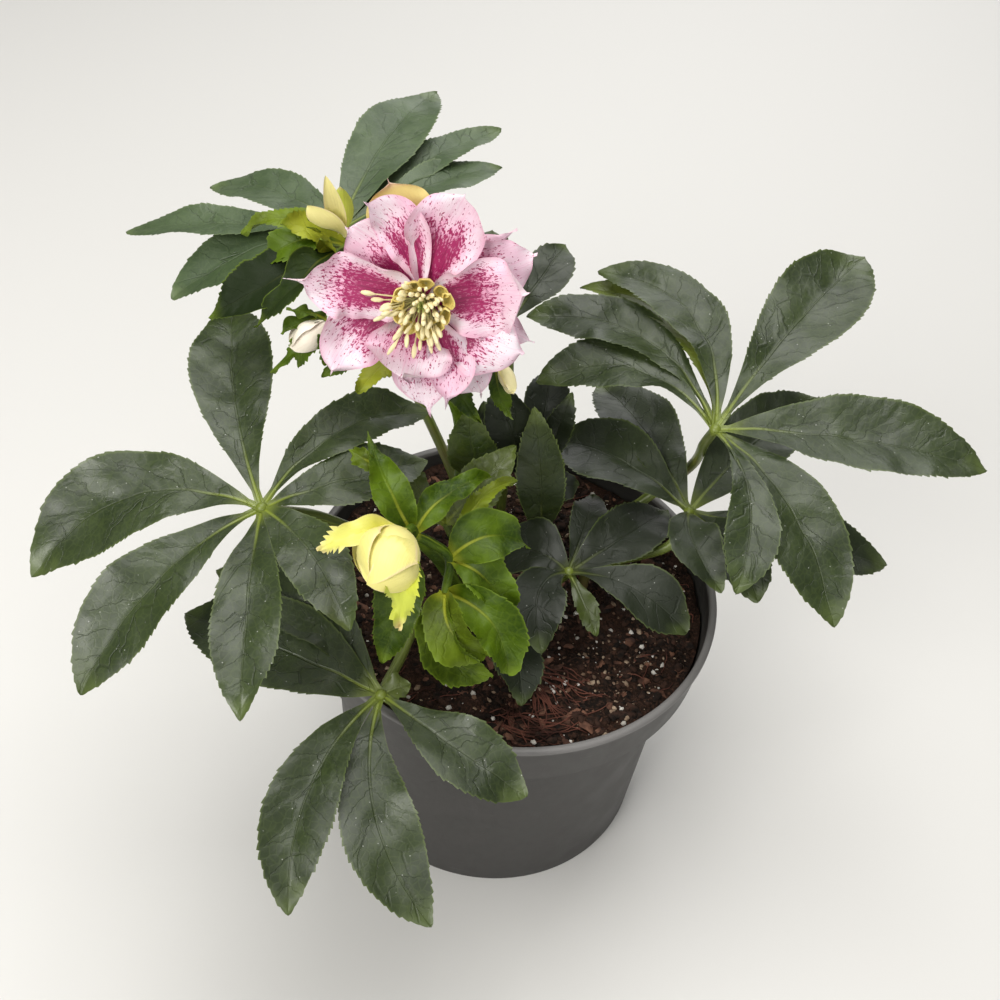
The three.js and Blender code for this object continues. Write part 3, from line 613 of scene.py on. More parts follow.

# %% [markdown]
# ## Leaves
#
# Each leaf is like a hand: three to eight leaflets that spread from one knuckle at the top of a stalk.
# The whole plant is a list of hands.  Writing the list down keeps each leaflet where it grows,
# which a scattering rule wouldn't.

# %% Where each leaf stands
# Knuckle, facing, stalk points, and leaflets as
# heading in degrees, reach, rise of the tip, arch, sway, width, widest place.
LEAVES = {
    "leaf_a": dict(
        hub=(-92, -40, 190), face=(-0.1, -0.3, 1), stalk=[(-40, -4), (-46, -8, 140), (-72, -24, 172)],
        leaflets=[
            (108, 93, 22, 5, -4, 31, 0.64), (-163, 82, -24, 7, 16, 37, 0.61), (-129, 80, -37, 8, 5, 29, 0.63),
            (-83, 81, -15, 6, 0, 23, 0.59), (-49, 60, -7, 5, -4, 22, 0.54), (42, 73, 12, 6, -8, 22, 0.64),
            (28, 63, 5, 6, 2, 23, 0.59),
        ],
    ),
    "leaf_b": dict(
        hub=(-43, -79, 142), face=(0, -0.2, 1),
        stalk=[(-31, -20), (-32, -25, 129), (-36, -42, 136), (-39, -58, 137)],
        leaflets=[
            (162, 82, 2, 6, -1, 36, 0.54), (148, 83, 7, 5, 7, 26, 0.6), (-104, 79, -22, 6, 9, 24, 0.61),
            (-69, 79, -24, 5, 11, 26, 0.61), (-28, 63, -9, 6, 2, 25, 0.64), (25, 11, 2, 1, 0, 9, 0.55),
        ],
    ),
    "leaf_c": dict(
        hub=(-83, 69, 236), face=(0, -0.05, 1), stalk=[(-22, 26), (-30, 32, 150), (-62, 52, 204)],
        leaflets=[
            (74, 98, 15, 8, -2, 29, 0.56), (52, 93, 12, 4, -3, 18, 0.64), (42, 80, 5, 6, 1, 21, 0.63),
            (152, 67, -7, 6, 4, 26, 0.55), (180, 86, -12, 6, -3, 19, 0.61), (-155, 67, -21, 5, 3, 26, 0.66),
        ],
    ),
    "leaf_d": dict(
        hub=(68, 12, 206), face=(0.05, -0.25, 1),
        stalk=[(32, 22), (46, 33, 138), (68, 41, 160), (69, 29, 184)],
        leaflets=[
            (124, 87, 16, 10, 16, 25, 0.62), (145, 92, 3, 6, 16, 25, 0.69), (128, 89, 8, 8, 17, 17, 0.6),
            (161, 73, -6, 6, 14, 24, 0.67), (54, 98, 33, 6, -2, 34, 0.68), (-5, 101, 3, 7, 0, 33, 0.59),
            (-56, 81, -28, 8, -5, 31, 0.59), (-84, 69, -15, 7, -7, 19, 0.7),
        ],
    ),
    "leaf_e": dict(
        hub=(67, 14, 160), face=(0, -0.25, 1), stalk=[(30, 8), (32, 8, 127), (46, 6, 138), (61, 6, 148)],
        leaflets=[
            (118, 83, 2, 7, 1, 30, 0.6), (147, 67, -2, 7, 2, 33, 0.62), (51, 90, 11, 6, -2, 30, 0.53),
            (-4, 83, -12, 8, 3, 26, 0.63), (-59, 50, -2, 6, -2, 23, 0.62), (-76, 45, 2, 7, 6, 20, 0.57),
        ],
    ),
    "leaf_f": dict(
        hub=(21, -15, 148), face=(0, -0.3, 1), stalk=[(14, -7), (15, -8, 130)],
        leaflets=[
            (151, 31, -11, 7, 2, 27, 0.54), (-101, 42, -1, 8, 8, 21, 0.61), (-22, 51, -6, 8, -3, 23, 0.67),
            (49, 62, -5, 6, 2, 24, 0.53), (80, 50, -4, 6, 1, 14, 0.58), (-60, 26, -10, 3, 0, 8, 0.6),
        ],
    ),
    "leaf_g": dict(
        hub=(-13, 29, 232), face=(0, -0.5, 1), stalk=[(-8, 34), (-9, 35, 170)],
        leaflets=[(60, 36, 16, 4, 1, 18, 0.6), (108, 34, 18, 4, -3, 17, 0.6), (158, 30, 6, 5, 2, 14, 0.6)],
    ),
    "leaf_h": dict(
        hub=(4, 27, 158), face=(0, -1, 0.6), stalk=[(6, 31), (6, 31, 136)],
        leaflets=[
            (-171, 19, 50, 4, -2, 20, 0.6), (8, 10, 45, 2, 1, 11, 0.6), (164, 25, 31, 4, -4, 16, 0.62),
            (-5, 19, -1, 4, 1, 13, 0.55), (87, 39, 26, 6, 0, 19, 0.6),
        ],
    ),
}
# Painted shade: how much darker the green of a whole leaf is made than that of the outer ones, as it lies in
# their shade.
SHADE_DEPTH = dict(leaf_a=0, leaf_b=0.15, leaf_c=0, leaf_d=0.08, leaf_e=0.5, leaf_f=0.9, leaf_g=0.5, leaf_h=0.9)
# Leaflets that have turned yellow, by their leaf and row.
YELLOWED = {("leaf_b", 5): -0.3, ("leaf_d", 2): -0.65, ("leaf_f", 5): -0.15}
print("leaflets:", sum(len(leaf["leaflets"]) for leaf in LEAVES.values()))

# %% [markdown]
# ## Leaflets
#
# A leaflet is folded a little along its midrib and lumpy between its veins, and its margin has small
# teeth that lean forwards, a few millimetres apart.  One loop makes them all and varies the fold, so
# that no two look stamped.  The leaf at the back is flatter and paler than the others.

# %% Leaf blades
# The knuckle's radius, and the share of a leaflet's reach that its blade takes up.
KNUCKLE, REACHED = 2.3, 0.99

for order, (name, leaf) in enumerate(LEAVES.items()):
    hub = Vector(leaf["hub"])
    flatter = name == "leaf_c"
    bm = new_mesh()
    place = Matrix.Translation(hub)
    for vert in bmesh.ops.create_icosphere(bm, subdivisions=2, radius=KNUCKLE, matrix=place)["verts"]:
        vert[bm.verts.layers.float_vector["part"]] = (0, 0.11, 0)
    for k, (heading, reach, rise, arch, sway, wide, widest) in enumerate(leaf["leaflets"]):
        bearing = math.radians(heading)
        tip = hub + REACHED * Vector((reach * math.cos(bearing), reach * math.sin(bearing), rise))
        add_blade(
            bm, hub, tip, arch, sway, wide, leaf["face"], 10 * order + k, widest=widest,
            halves=(1.03, 0.97) if k % 2 else (0.97, 1.03), fold=(0.14 if flatter else 0.2) + 0.06 * (k % 3),
            tint=YELLOWED.get((name, k), SHADE_DEPTH[name]), lumps=0.9 if flatter else 1.7,
        )
    finish_piece(bm, f"{name}_leaflets", "leaf_pale" if flatter else "leaf_dark", f"{name}_blade")

# %% [markdown]
# ## Stalks and stems
#
# A stalk is a tube along a smooth curve.  A grid is rolled up: its columns go round and its rows go
# along, and the seam is welded.  Stalks are a little ribbed and thicker at the foot, as a curve object
# with a bevel wouldn't be.

# %% Stem helper
SOIL_LEVEL = 116


def smooth_line(points, count):
    """Points along a curve that passes through all the given ones."""
    points = [Vector(p) for p in points]
    padded = [2 * points[0] - points[1], *points, 2 * points[-1] - points[-2]]
    line = []
    for i in range(count + 1):
        at = i / count * (len(points) - 1)
        k = min(int(at), len(points) - 2)
        t = at - k
        a, b, c, d = padded[k : k + 4]
        square, cube = 2 * a - 5 * b + 4 * c - d, 3 * b - a - 3 * c + d
        line.append(0.5 * (2 * b + (c - a) * t + square * t * t + cube * t**3))
    return line


def add_stem(bm, points, low, high, round_segments=12, count=24, ribs=0.06):
    """Adds a tube along a smooth curve, thinner towards its upper end."""
    line = smooth_line(points, count)
    flat, part, _ = carried(bm)
    tube = bmesh.ops.create_grid(bm, x_segments=round_segments, y_segments=count, size=0.5)["verts"]
    reference = Vector((0.31, 0.95, 0.1))
    for vert in tube:
        angle = 2 * math.pi * (vert.co.x + 0.5)
        u = vert.co.y + 0.5
        k = round(u * count)
        tangent = (line[min(k + 1, count)] - line[max(k - 1, 0)]).normalized()
        side = tangent.cross(reference).normalized()
        radius = (low + (high - low) * u) * (1 + ribs * math.cos(5 * angle))
        vert[flat] = (angle * low, line[k].z, 0)
        vert[part] = (math.cos(angle), u, 0)
        vert.co = line[k] + radius * (side * math.cos(angle) + side.cross(tangent) * math.sin(angle))
    bmesh.ops.remove_doubles(bm, verts=tube, dist=1e-4)


def rooted(points):
    """A path whose first point, x and y, is where the stem enters the compost."""
    (x, y), *rest = points
    return [(x, y, SOIL_LEVEL - 14), (x, y, SOIL_LEVEL - 4), (x, y, SOIL_LEVEL + 3), *rest]


print("a bent stem has", len(smooth_line([(0, 0, 0), (0, 5, 9), (9, 9, 9)], 24)), "rings")

# %% [markdown]
# ## The green of the stalks
#
# A stalk is pale green with fine streaks along it, a reddish flush here and there, and it turns brown
# where it leaves the compost.  Height above the compost drives the brown, so every stalk gets it at
# the same level however it bends.

# %% Stalk finish
tree, shader = new_finish("stalk_green", Roughness=0.42, Coat_Weight=0.15, Coat_Roughness=0.3)
flat = read(tree, "flat")
_, climb, _ = split(flat)
streaks = cloud(stretch(flat, (1.2, 0.08, 1)), 1.0, 3.0)
green = layered(
    (0.1, 0.14, 0.02),
    (ramp(streaks, 0.3, 0.75), (0.19, 0.23, 0.04)),
    (ramp(cloud(flat, 0.05, 2.0), 0.5, 0.75, 0.0, 0.35), (0.22, 0.1, 0.07)),
    (ramp(climb, SOIL_LEVEL, SOIL_LEVEL + 18, 0.75, 0.0), (0.12, 0.07, 0.035)),
)
paint(shader, Base_Color=green, Normal=bump(streaks, 0.0004, 0.6))
print("stalk finish:", len(tree.nodes), "nodes")

# %% [markdown]
# ## Leaf stalks
#
# Each leaf stands on one stalk that rises from the crown and bends outwards under the leaf's weight.
# It stops just short of the knuckle's middle, so that the knuckle covers its end.

# %% Leaf stalks
SHORT_OF_KNUCKLE = 2.9
for name, leaf in LEAVES.items():
    hub = Vector(leaf["hub"])
    top = hub + (Vector(leaf["stalk"][-1]) - hub).normalized() * SHORT_OF_KNUCKLE
    bm = new_mesh()
    add_stem(bm, [*rooted(leaf["stalk"]), top], 2.4, 1.9, count=40)
    finish_piece(bm, f"{name}_leafstalk", "stalk_green", f"{name}_stalk")

# %% [markdown]
# ## Young leaves
#
# New leaves rise from the crown, still narrow and half folded.  They are the same blades with a fresher
# finish and closer teeth.

# %% Young leaves
# A tint above nought is painted shade on a leaf that stands in the shade of others; one below nought is real
# yellowing.
YOUNG = {
    "young_leaf_upright": dict(
        stem=[(13, 15), (11, 13, 128), (9.4, 10, 141)], face=(0.1, -1, 0.2),
        blades=[((0, 19, 201), 3, 1, 19)], special=dict(tint=0.6),
    ),
    "young_leaf_olive": dict(
        stem=[(-13, 19), (-13, 17, 140), (-15, 14, 162)], face=(0, -1, 0.3),
        blades=[((-24, 13, 202), 2, -2, 19)], special=dict(tint=0.1),
    ),
    "young_leaf_folded": dict(
        stem=[(-19, -4), (-22, -4, 138), (-29, -4, 156)], face=(-0.3, -0.8, 0.6),
        blades=[((-5, 6, 192), 5, 1, 18), ((-44, 8, 176), 4, -2, 12)],
        special=dict(tint=-0.15, pucker=0.5, wave=1.5, waves=3.2),
    ),
    "low_leaf": dict(
        stem=[(-12, -27), (-11, -31, 126), (-9, -36, 134)], face=(0.2, 0, 1),
        blades=[((8, -65, 126), 6, -3, 20)], special=dict(tint=0.8),
    ),
}
YOUNG_BLADE = dict(widest=0.5, tooth=0.7, gap=2.2, spacing=6.0, toothed=0.15)
for order, (name, leaf) in enumerate(YOUNG.items()):
    bm = new_mesh()
    add_stem(bm, rooted(leaf["stem"]), 1.9, 1.5, count=20)
    rows = [(leaf["stem"][-1], *blade, leaf["face"], leaf["special"]) for blade in leaf["blades"]]
    add_blades(bm, rows, 80 + 5 * order, YOUNG_BLADE)
    finish_piece(bm, f"{name}_fine", "leaf_dark" if name == "low_leaf" else "leaf_young", name)

# %% [markdown]
# ## Flower finishes
#
# The petals (in truth sepals) are white-pink.  From the foot a fan of magenta opens: solid near the
# middle, then a net, then short dashes that point outwards.  One pattern of cells, stretched along the
# petal, does all three: the further out, the less of their walls passes the threshold.

# %% Petal finish


def petal_finish(
    name, pale, flush, ink, under, rim_colour, aged_low, blush, reach=0.8, amount=1.0, aged_foot=0.0,
):
    """A petal finish; a tint above nought ages the petal, one below nought makes it blush."""
    tree, shader = new_finish(name, Roughness=0.5, Sheen_Weight=0.15, Sheen_Roughness=0.4)
    flat, part, tone = blade_values(tree)
    part_across, part_along, beneath = split(part)
    rim = abs(part_across)
    ragged = cloud(stretch(flat, (0.5, 0.1, 1)), 1.0, 2.0) * 0.35 + part_along
    sides = ramp(rim / (part_along * 0.75 + 0.48), 0.4, 1.15, 1.0, 0.0)
    fan = sides * ramp(ragged, 0.55, reach + 0.27, 1.0, 0.0)
    broad = cloud(flat, 0.09, 2.0)
    fibres = cloud(stretch(flat, (2.6, 0.09, 1)), 1.0, 3.0)
    bent = (cloud(flat, 0.6, 2.0) - 0.5) * 1.6
    course = add_node(tree, "VectorMath", {0: stretch(flat, (1.75, 0.8, 1)), 1: join(bent, bent, 0.0)})
    walls = cells(course, 1.0, "DISTANCE_TO_EDGE")
    breaks = cloud(stretch(flat, (1.6, 0.7, 1)), 1.0, 2.0) - 0.5
    marks = ramp(breaks * 1.5 + (fan * 0.5 - 0.19) - walls, -0.05, 0.07, 0.0, amount)
    deep = ramp(fan, 0.6, 1.0, 0.0, amount) * ramp(fibres, 0.3, 0.62, 0.5, 1.0)
    aged = blend(ramp(part_along, 0.88, 1.0, 0.0, 0.7), aged_low, rim_colour)
    colour = layered(
        pale,
        (ramp(broad, 0.38, 0.7, 0.0, 0.5), flush),
        (ramp(rim, 0.8, 1.0, 0.0, 0.6), rim_colour),
        (ramp(fibres, 0.5, 0.7, 0.0, 0.4), flush),
        (ramp(fan, 0.05, 0.8, 0.0, 0.9), flush),
        (maths("MAXIMUM", marks, deep), ink),
        (ramp(fibres, 0.52, 0.64, 0.0, 0.5) * deep, shade(ink, 0.4)),
        (beneath * 0.8, under),
        (clamped(tone, ramp(part_along, 0.3, 0.6, aged_foot, 1.0)), aged),
        (clamped(tone, -1.0), blush),
    )
    paint(shader, Base_Color=colour, Normal=bump(fibres * 0.6 + broad, 0.0006, 0.5))


petal_finish(
    "petal_pink", pale=(0.9, 0.78, 0.85), flush=(0.8, 0.37, 0.55), ink=(0.34, 0.006, 0.1),
    under=(0.88, 0.66, 0.72), rim_colour=(0.8, 0.4, 0.54), aged_low=(0.84, 0.72, 0.24),
    blush=(0.9, 0.8, 0.8),
)
petal_finish(
    "petal_cream", pale=(0.88, 0.8, 0.26), flush=(0.82, 0.75, 0.19), ink=(0.5, 0.56, 0.1),
    under=(0.8, 0.8, 0.36), rim_colour=(0.8, 0.6, 0.4), aged_low=(0.54, 0.61, 0.05),
    blush=(0.88, 0.8, 0.74), reach=0.4, amount=0.15, aged_foot=1.0,
)
print("finishes so far:", list(FINISHES))

# %% [markdown]
# ## The open flower
#
# The flower has its own upright frame: it looks along one direction, and every petal, stamen and
# nectary is placed around that axis and then turned into the plant by one matrix.

# %% Flower frame and petals
FLOWER_MIDDLE = Vector((-42, -3, 260))
looks = Vector((0.06, -0.95, 0.31)).normalized()
sideways = Vector((0, 0, 1)).cross(looks).normalized()
flower_turn = Matrix((sideways, looks.cross(sideways), looks)).transposed().to_4x4()
FLOWER = Matrix.Translation(FLOWER_MIDDLE) @ flower_turn

# Clock angle, reach, rise, width, layer, arch, sway, and what is special about the petal.
PETALS = [
    (122, 39, 7, 23, 0, -3, 4, dict(
        halves=(0.6, 0.95), beak=8, full=0.6, lips=(0.0, 0.6), funnel=(0.3, 0.7), ruffle=3)),
    (73, 40, 7, 29, 0.2, -3, -1, dict(
        halves=(0.95, 0.9), widest=0.62, full=0.5, lips=(0.5, 0.2), wave=1.6, ruffle=2, lip=0.5,
        funnel=(0.8, 0.3))),
    (13, 36, 8, 29, -0.7, -3, 0, dict(
        halves=(0.95, 1.1), widest=0.56, full=0.45, beak=10, lips=(1.0, -0.4), lip=0.5,
        funnel=(0.6, 0.2), wave=3)),
    (-23, 38, 6, 25, 1, -3, 3, dict(widest=0.6, full=0.55, lips=(0.0, 0.5), wave=3.2)),
    (-75, 38, 7, 22, 0, -3, -3, dict(halves=(0.95, 0.6), beak=10, body=0.9, lips=(0.0, 1.3), wave=2.8)),
    (-102, 27, 9, 30, 1, -3, 0, dict(full=0.5, widest=0.68, beak=1, lips=(-0.5, 0.5), wave=3.4, waves=2.4)),
    (-137, 41, 6, 23, 1.2, -3, 5, dict(widest=0.6, full=0.55, lips=(1.0, 0.0), wave=3.6, waves=2.4)),
    (172, 46, 8, 25, -1.0, -3, -0.5, dict(
        halves=(0.85, 1.05), beak=9, body=0.84, widest=0.54, full=0.45, lips=(-0.3, 0.8), lip=0.5,
        funnel=(0.2, 0.7))),
    (26, 41, 1, 22, 3, -1, 0, dict(full=0.6, beak=6)),
    (-19, 41, 1, 13, 3, -1, -1, dict(lips=(1.2, 1.2))),
    (-83, 43, 2, 21, 2, -1, 2, dict(beak=11, body=0.9, lips=(0.8, 0.4))),
    (-57, 41, 1, 22, 3, -1, 0, dict(full=0.55, beak=4)),
    (141, 35, 1, 24, 3, -1, 1, dict(full=0.6, beak=6)),
    (110, 41, 1, 23, 4, -1, 1, dict(widest=0.74, full=0.5, beak=0, tint=0.95, ruffle=2, wave=1)),
    (41, 39, 0, 11, 4, 0, 0, dict(beak=8, body=0.85)),
    (-160, 33, 1, 20, 3, -1, 0, {}),
    (-95, 31, 4, 11, 1.5, -2, 2, dict(lips=(1.5, 1.5), lip=0.3, beak=3, tint=-0.15)),
]
PETAL = dict(
    across=26, along=52, widest=0.64, full=0.7, foot=2.2, thick=0.7, fold=0, cup=0.16, tooth=0, wave=2.5,
    waves=1.9, pucker=0, body=0.95, beak=12, lumps=2.4, ruffle=4.5,
)
LAYER = 1.3


def ring_point(radius, angle, height):
    return Vector((radius * math.cos(angle), radius * math.sin(angle), height))


rows = []
for angle, reach, rise, wide, layer, arch, sway, special in PETALS:
    bearing = math.radians(angle)
    low = -1 - layer * LAYER
    ends = ring_point(2, bearing, low), ring_point(reach, bearing, low + rise)
    rows.append((*ends, arch, sway, wide, (0, 0, 1), special))
bm = new_mesh()
add_blades(bm, rows, 120, PETAL)
seat = Matrix.Translation((0, 0, -3.15))
bmesh.ops.create_cone(bm, cap_ends=True, segments=24, radius1=3.6, radius2=6, depth=6.3, matrix=seat)
bm.transform(FLOWER)
finish_piece(bm, "flower_sepals", "petal_pink", "flower_petals")

# %% [markdown]
# ## Finishes for the small organs
#
# Stamens are cream, nectaries are green at the foot and gold at the mouth, and seed cups are pale
# green.  All three shade from one colour to another on the way up, so one recipe serves them: each
# point carries how high up its organ it is.

# %% Organ finishes


def organ_finish(name, low, high, roughness, scale=0.9):
    """A two-tone finish for the small organs of the flower."""
    tree, shader = new_finish(name, Roughness=roughness)
    _, along, _ = split(read(tree, "part"))
    speckle = cloud(read(tree, "flat"), scale, 3.0)
    tint = layered(low, (ramp(along, 0.1, 0.9), high), (ramp(speckle, 0.4, 0.8, 0.0, 0.4), low))
    paint(shader, Base_Color=tint, Normal=bump(speckle, 0.0003, 0.6))


organ_finish("stamen_cream", (0.66, 0.62, 0.3), (0.9, 0.79, 0.47), 0.6, 1.6)
organ_finish("nectary_gold", (0.13, 0.14, 0.012), (0.8, 0.64, 0.2), 0.35)
organ_finish("carpel_green", (0.4, 0.5, 0.12), (0.62, 0.66, 0.25), 0.5)
print("finishes so far:", list(FINISHES))

# %% [markdown]
# ## Stamens
#
# Some seventy stamens stand in a spiral in the middle of the flower, and the outer ones hang down and
# to the left.  Each is a turned shape, a thin thread with a long head, with few faces because there
# are many.  A golden angle between neighbours fills the disc evenly.

# %% Stamens
STAMENS = 72
GOLDEN_ANGLE = 137.5
HANG = math.radians(228)


def add_turned(bm, profile, segments, place):
    """A shape turned about its own axis from radius and height pairs, then set in place."""
    flat, part, _ = carried(bm)
    tall = max(height for _, height in profile)
    before = set(bm.verts)
    corners = [bm.verts.new((radius, 0, height)) for radius, height in profile]
    edges = [bm.edges.new(pair) for pair in zip(corners, corners[1:])]
    bmesh.ops.spin(
        bm, geom=corners + edges, axis=(0, 0, 1), cent=(0, 0, 0), steps=segments, angle=2 * math.pi,
        use_merge=True,
    )
    shape = [vert for vert in bm.verts if vert not in before]
    for vert in shape:
        vert[flat] = vert.co
        vert[part] = (0, max(vert.co.z, 0) / tall, 0)
        vert.co = place(vert.co)
    bmesh.ops.remove_doubles(bm, verts=shape, dist=1e-3)


def leaning(radius, lean, turn, bend=0.0, droop=(0.0, 0.0)):
    """A placing for an organ that stands on the flower's seat, leans outwards and hangs to one side."""
    foot = Matrix.Rotation(turn, 4, "Z") @ Matrix.Translation((radius, 0, 1))
    matrix = foot @ Matrix.Rotation(lean, 4, "Y")
    sag = matrix.to_3x3().inverted() @ Vector((*droop, 0))
    return lambda co: matrix @ (Vector((co.x + bend * co.z**2, co.y, co.z)) + sag * co.z**2)


dice = random.Random(7)
bm = new_mesh()
# In the loop, outer is how far out the stamen stands, and down is how far it points to the hanging side.
for k in range(STAMENS):
    turn = math.radians(k * GOLDEN_ANGLE + dice.uniform(-25, 25))
    outer = math.sqrt((k + 0.5) / STAMENS) * dice.uniform(0.85, 1.1)
    down = 0.5 + 0.5 * math.cos(turn - HANG)
    long = 10.5 + 4 * dice.random() - 1.5 * outer + 2.5 * down * outer
    bend = outer * dice.uniform(0.0, 0.032) * (0.3 + 0.7 * down)
    broad = dice.uniform(0.65, 0.95)
    head = dice.uniform(3.3, 4.5)
    thread = [(0, 0), (0.34, 0), (0.25, long - head), (0.55 * broad, long - head + 0.5)]
    club = [(broad, long - head * 0.62), (broad, long - head * 0.3), (0.6 * broad, long - 0.25), (0, long)]
    lean = math.radians(3 + 60 * outer**1.2 * dice.uniform(0.6, 1.1) * (0.4 + 0.6 * down))
    droop = (dice.gauss(-0.003, 0.009), dice.gauss(-0.006, 0.008))
    add_turned(bm, thread + club, 6, leaning(0.6 + 3.0 * outer, lean, turn, bend, droop))
bm.transform(FLOWER)
finish_piece(bm, "flower_stamen_mass", "stamen_cream", "flower_stamens")

# %% [markdown]
# ## Nectaries and seed cups
#
# Round the stamens stands a ring of small golden cups, which are petals that have become honey jars.
# Each is turned like a horn, and its mouth is then opened sideways into two lips.  Five slim seed cups
# are hidden in the middle.

# %% Nectaries and seed cups
NECTARIES = 11
HORN = [
    (0, 0), (0.8, 0), (1.4, 2.2), (2.0, 4.2), (2.55, 6.3), (2.5, 6.9), (2.15, 7.0), (1.8, 6.1), (1.3, 4.2),
    (0, 3.2),
]
SEED_CUP = [(0, 0), (0.9, 0), (1.1, 2), (0.8, 4.5), (0.35, 6.5), (0.3, 8.6), (0, 8.8)]


def two_lipped(place, slant):
    """Opens the mouth of a tube sideways and sets its outer lip higher than its inner one."""

    def shaped(co):
        share = max(co.z - 2, 0) / 5
        frill = 1 + 0.3 * share * noise.noise(Vector((co.x * 0.7, co.y * 0.7, 40 * slant)))
        wide = Vector((co.x * (1 - 0.2 * share), co.y * (1 + 0.14 * share), 0)) * frill
        return place(wide + Vector((0, 0, co.z + slant * co.x * share)))

    return shaped


bm = new_mesh()
for k in range(NECTARIES):
    tall = dice.uniform(0.9, 1.2)
    turn = 2 * math.pi * (k + 0.5 + dice.uniform(-0.22, 0.22)) / NECTARIES
    place = leaning(6.4, math.radians(dice.uniform(16, 27)), turn, -0.016)
    horn = [(radius, height * tall) for radius, height in HORN]
    add_turned(bm, horn, 16, two_lipped(place, dice.uniform(0.4, 0.9)))
bm.transform(FLOWER)
finish_piece(bm, "flower_nectary_ring", "nectary_gold", "flower_nectaries")

bm = new_mesh()
for k in range(5):
    add_turned(bm, SEED_CUP, 8, leaning(0.8, math.radians(4), 2 * math.pi * k / 5))
bm.transform(FLOWER)
finish_piece(bm, "flower_seed_cups", "carpel_green", "flower_carpels")

# %% [markdown]
# ## Flower stem, forks and bracts
#
# The tall stem forks under the flower.  At every fork stand bracts, which are small bright leaves with
# sharp teeth.  Stem, forks and bracts grew as one, so they are one piece.

# %% Tall stem
FLOWER_FORK = (-48, 17, 226)
BUD_TWO_JOINT = (-76, 42, 248)
BUD_ONE_JOINT = (-37, -50, 196)
LOW_BUD_FORK = (-16, 14, 231)
SIDE_BUD_FOOT = (-77, 9, 238)
UPWARD = (0, -0.4, 1)
BRACT = dict(
    widest=0.5, gap=1.7, fold=0.32, foot=1.8, spacing=5.0, thick=0.8, toothed=0.14, wave=1.7,
    lumps=2.4, ruffle=2.6, pucker=0.4,
)
# Foot, tip, arch, sway, width, facing, and what is special about the bract.
# In the bract tables a tint above nought is painted shade on bracts in the shade of others, and one below
# nought is real yellowing.
FLOWER_BRACTS = [
    (FLOWER_FORK, (-77, -1, 220), 5, 2, 11, UPWARD, dict(tint=0.35)),
    (FLOWER_FORK, (-97, 3, 216), 12, 2, 9, UPWARD, dict(tint=0.1)),
    (FLOWER_FORK, (-63, -10, 222), 4, 0, 11, (0, -0.5, 1), dict(tint=-0.75, wave=1.8, waves=3)),
    (FLOWER_FORK, (-20, 2, 205), 5, 0, 10, (0, -0.5, 1), dict(tint=0.6)),
    (SIDE_BUD_FOOT, (-90, 3, 245), 2, 0, 4, UPWARD, dict(tint=0.25, tooth=0)),
    (SIDE_BUD_FOOT, (-92, 1, 236), 3, 0, 6, UPWARD, dict(tint=0.35, tooth=0)),
    (SIDE_BUD_FOOT, (-85, -3, 225), 3, 1, 8, UPWARD, dict(tint=0.3)),
    (SIDE_BUD_FOOT, (-75, -5, 229), 3, -1, 7, UPWARD, dict(tint=0.3)),
    (LOW_BUD_FORK, (-8, 6, 206), 2, 3, 7, (0.3, -1, 0.3), dict(tint=0.35)),
    (BUD_TWO_JOINT, (-121, 13, 230), 6, -3, 23, UPWARD, dict(tint=1.0, lips=(0.5, 0.0))),
    (BUD_TWO_JOINT, (-102, 8, 232), 13, -7, 14, (-0.2, -0.4, 1), dict(tint=0.85, lips=(0.0, 0.9))),
    (BUD_TWO_JOINT, (-105, 30, 242), 10, 0, 13, UPWARD, dict(tint=0.15, fold=0.35)),
    (BUD_TWO_JOINT, (-111, 24, 237), 5, 2, 9, (0, -0.3, 1), dict(tint=0.45)),
    (BUD_TWO_JOINT, (-114, 40, 249), 9, 3, 8, UPWARD, dict(tint=-0.15)),
    (BUD_TWO_JOINT, (-98, 34, 259), 2, 1, 12, (0, -0.7, 1), dict(tint=-0.75, cup=0.3)),
    (BUD_TWO_JOINT, (-82, 26, 261), 4, 0, 8, (-0.1, -0.9, -0.3), dict(tint=-0.5, cup=0.4)),
]
bm = new_mesh()
add_stem(bm, rooted([(-24, 10), (-25, 14, 140), (-29, 23, 190), FLOWER_FORK]), 2.9, 2.3, count=40)
for path in (
    [FLOWER_FORK, (-47, 23, 243), (-44, 16, 257), (-42.4, 3.6, 258)],
    [FLOWER_FORK, (-60, 30, 238), BUD_TWO_JOINT],
    [FLOWER_FORK, (-66, 17, 232), (-76, 9, 237)],
    [FLOWER_FORK, (-33, 23, 234), LOW_BUD_FORK, (-14.6, 10, 229)],
):
    add_stem(bm, path, 1.7, 1.3, count=16)
add_blades(bm, FLOWER_BRACTS, 150, BRACT)
finish_piece(bm, "flower_stem_fine", "bract_green", "flower_stem")

# %% [markdown]
# ## The low stem
#
# The low bud hangs from a stem of its own, with a large ruff of crumpled bracts beside it.  Each is a
# blade with a stronger cup or fold than a leaf has.  A small lobe stands beside the narrow waist of
# the upright one.

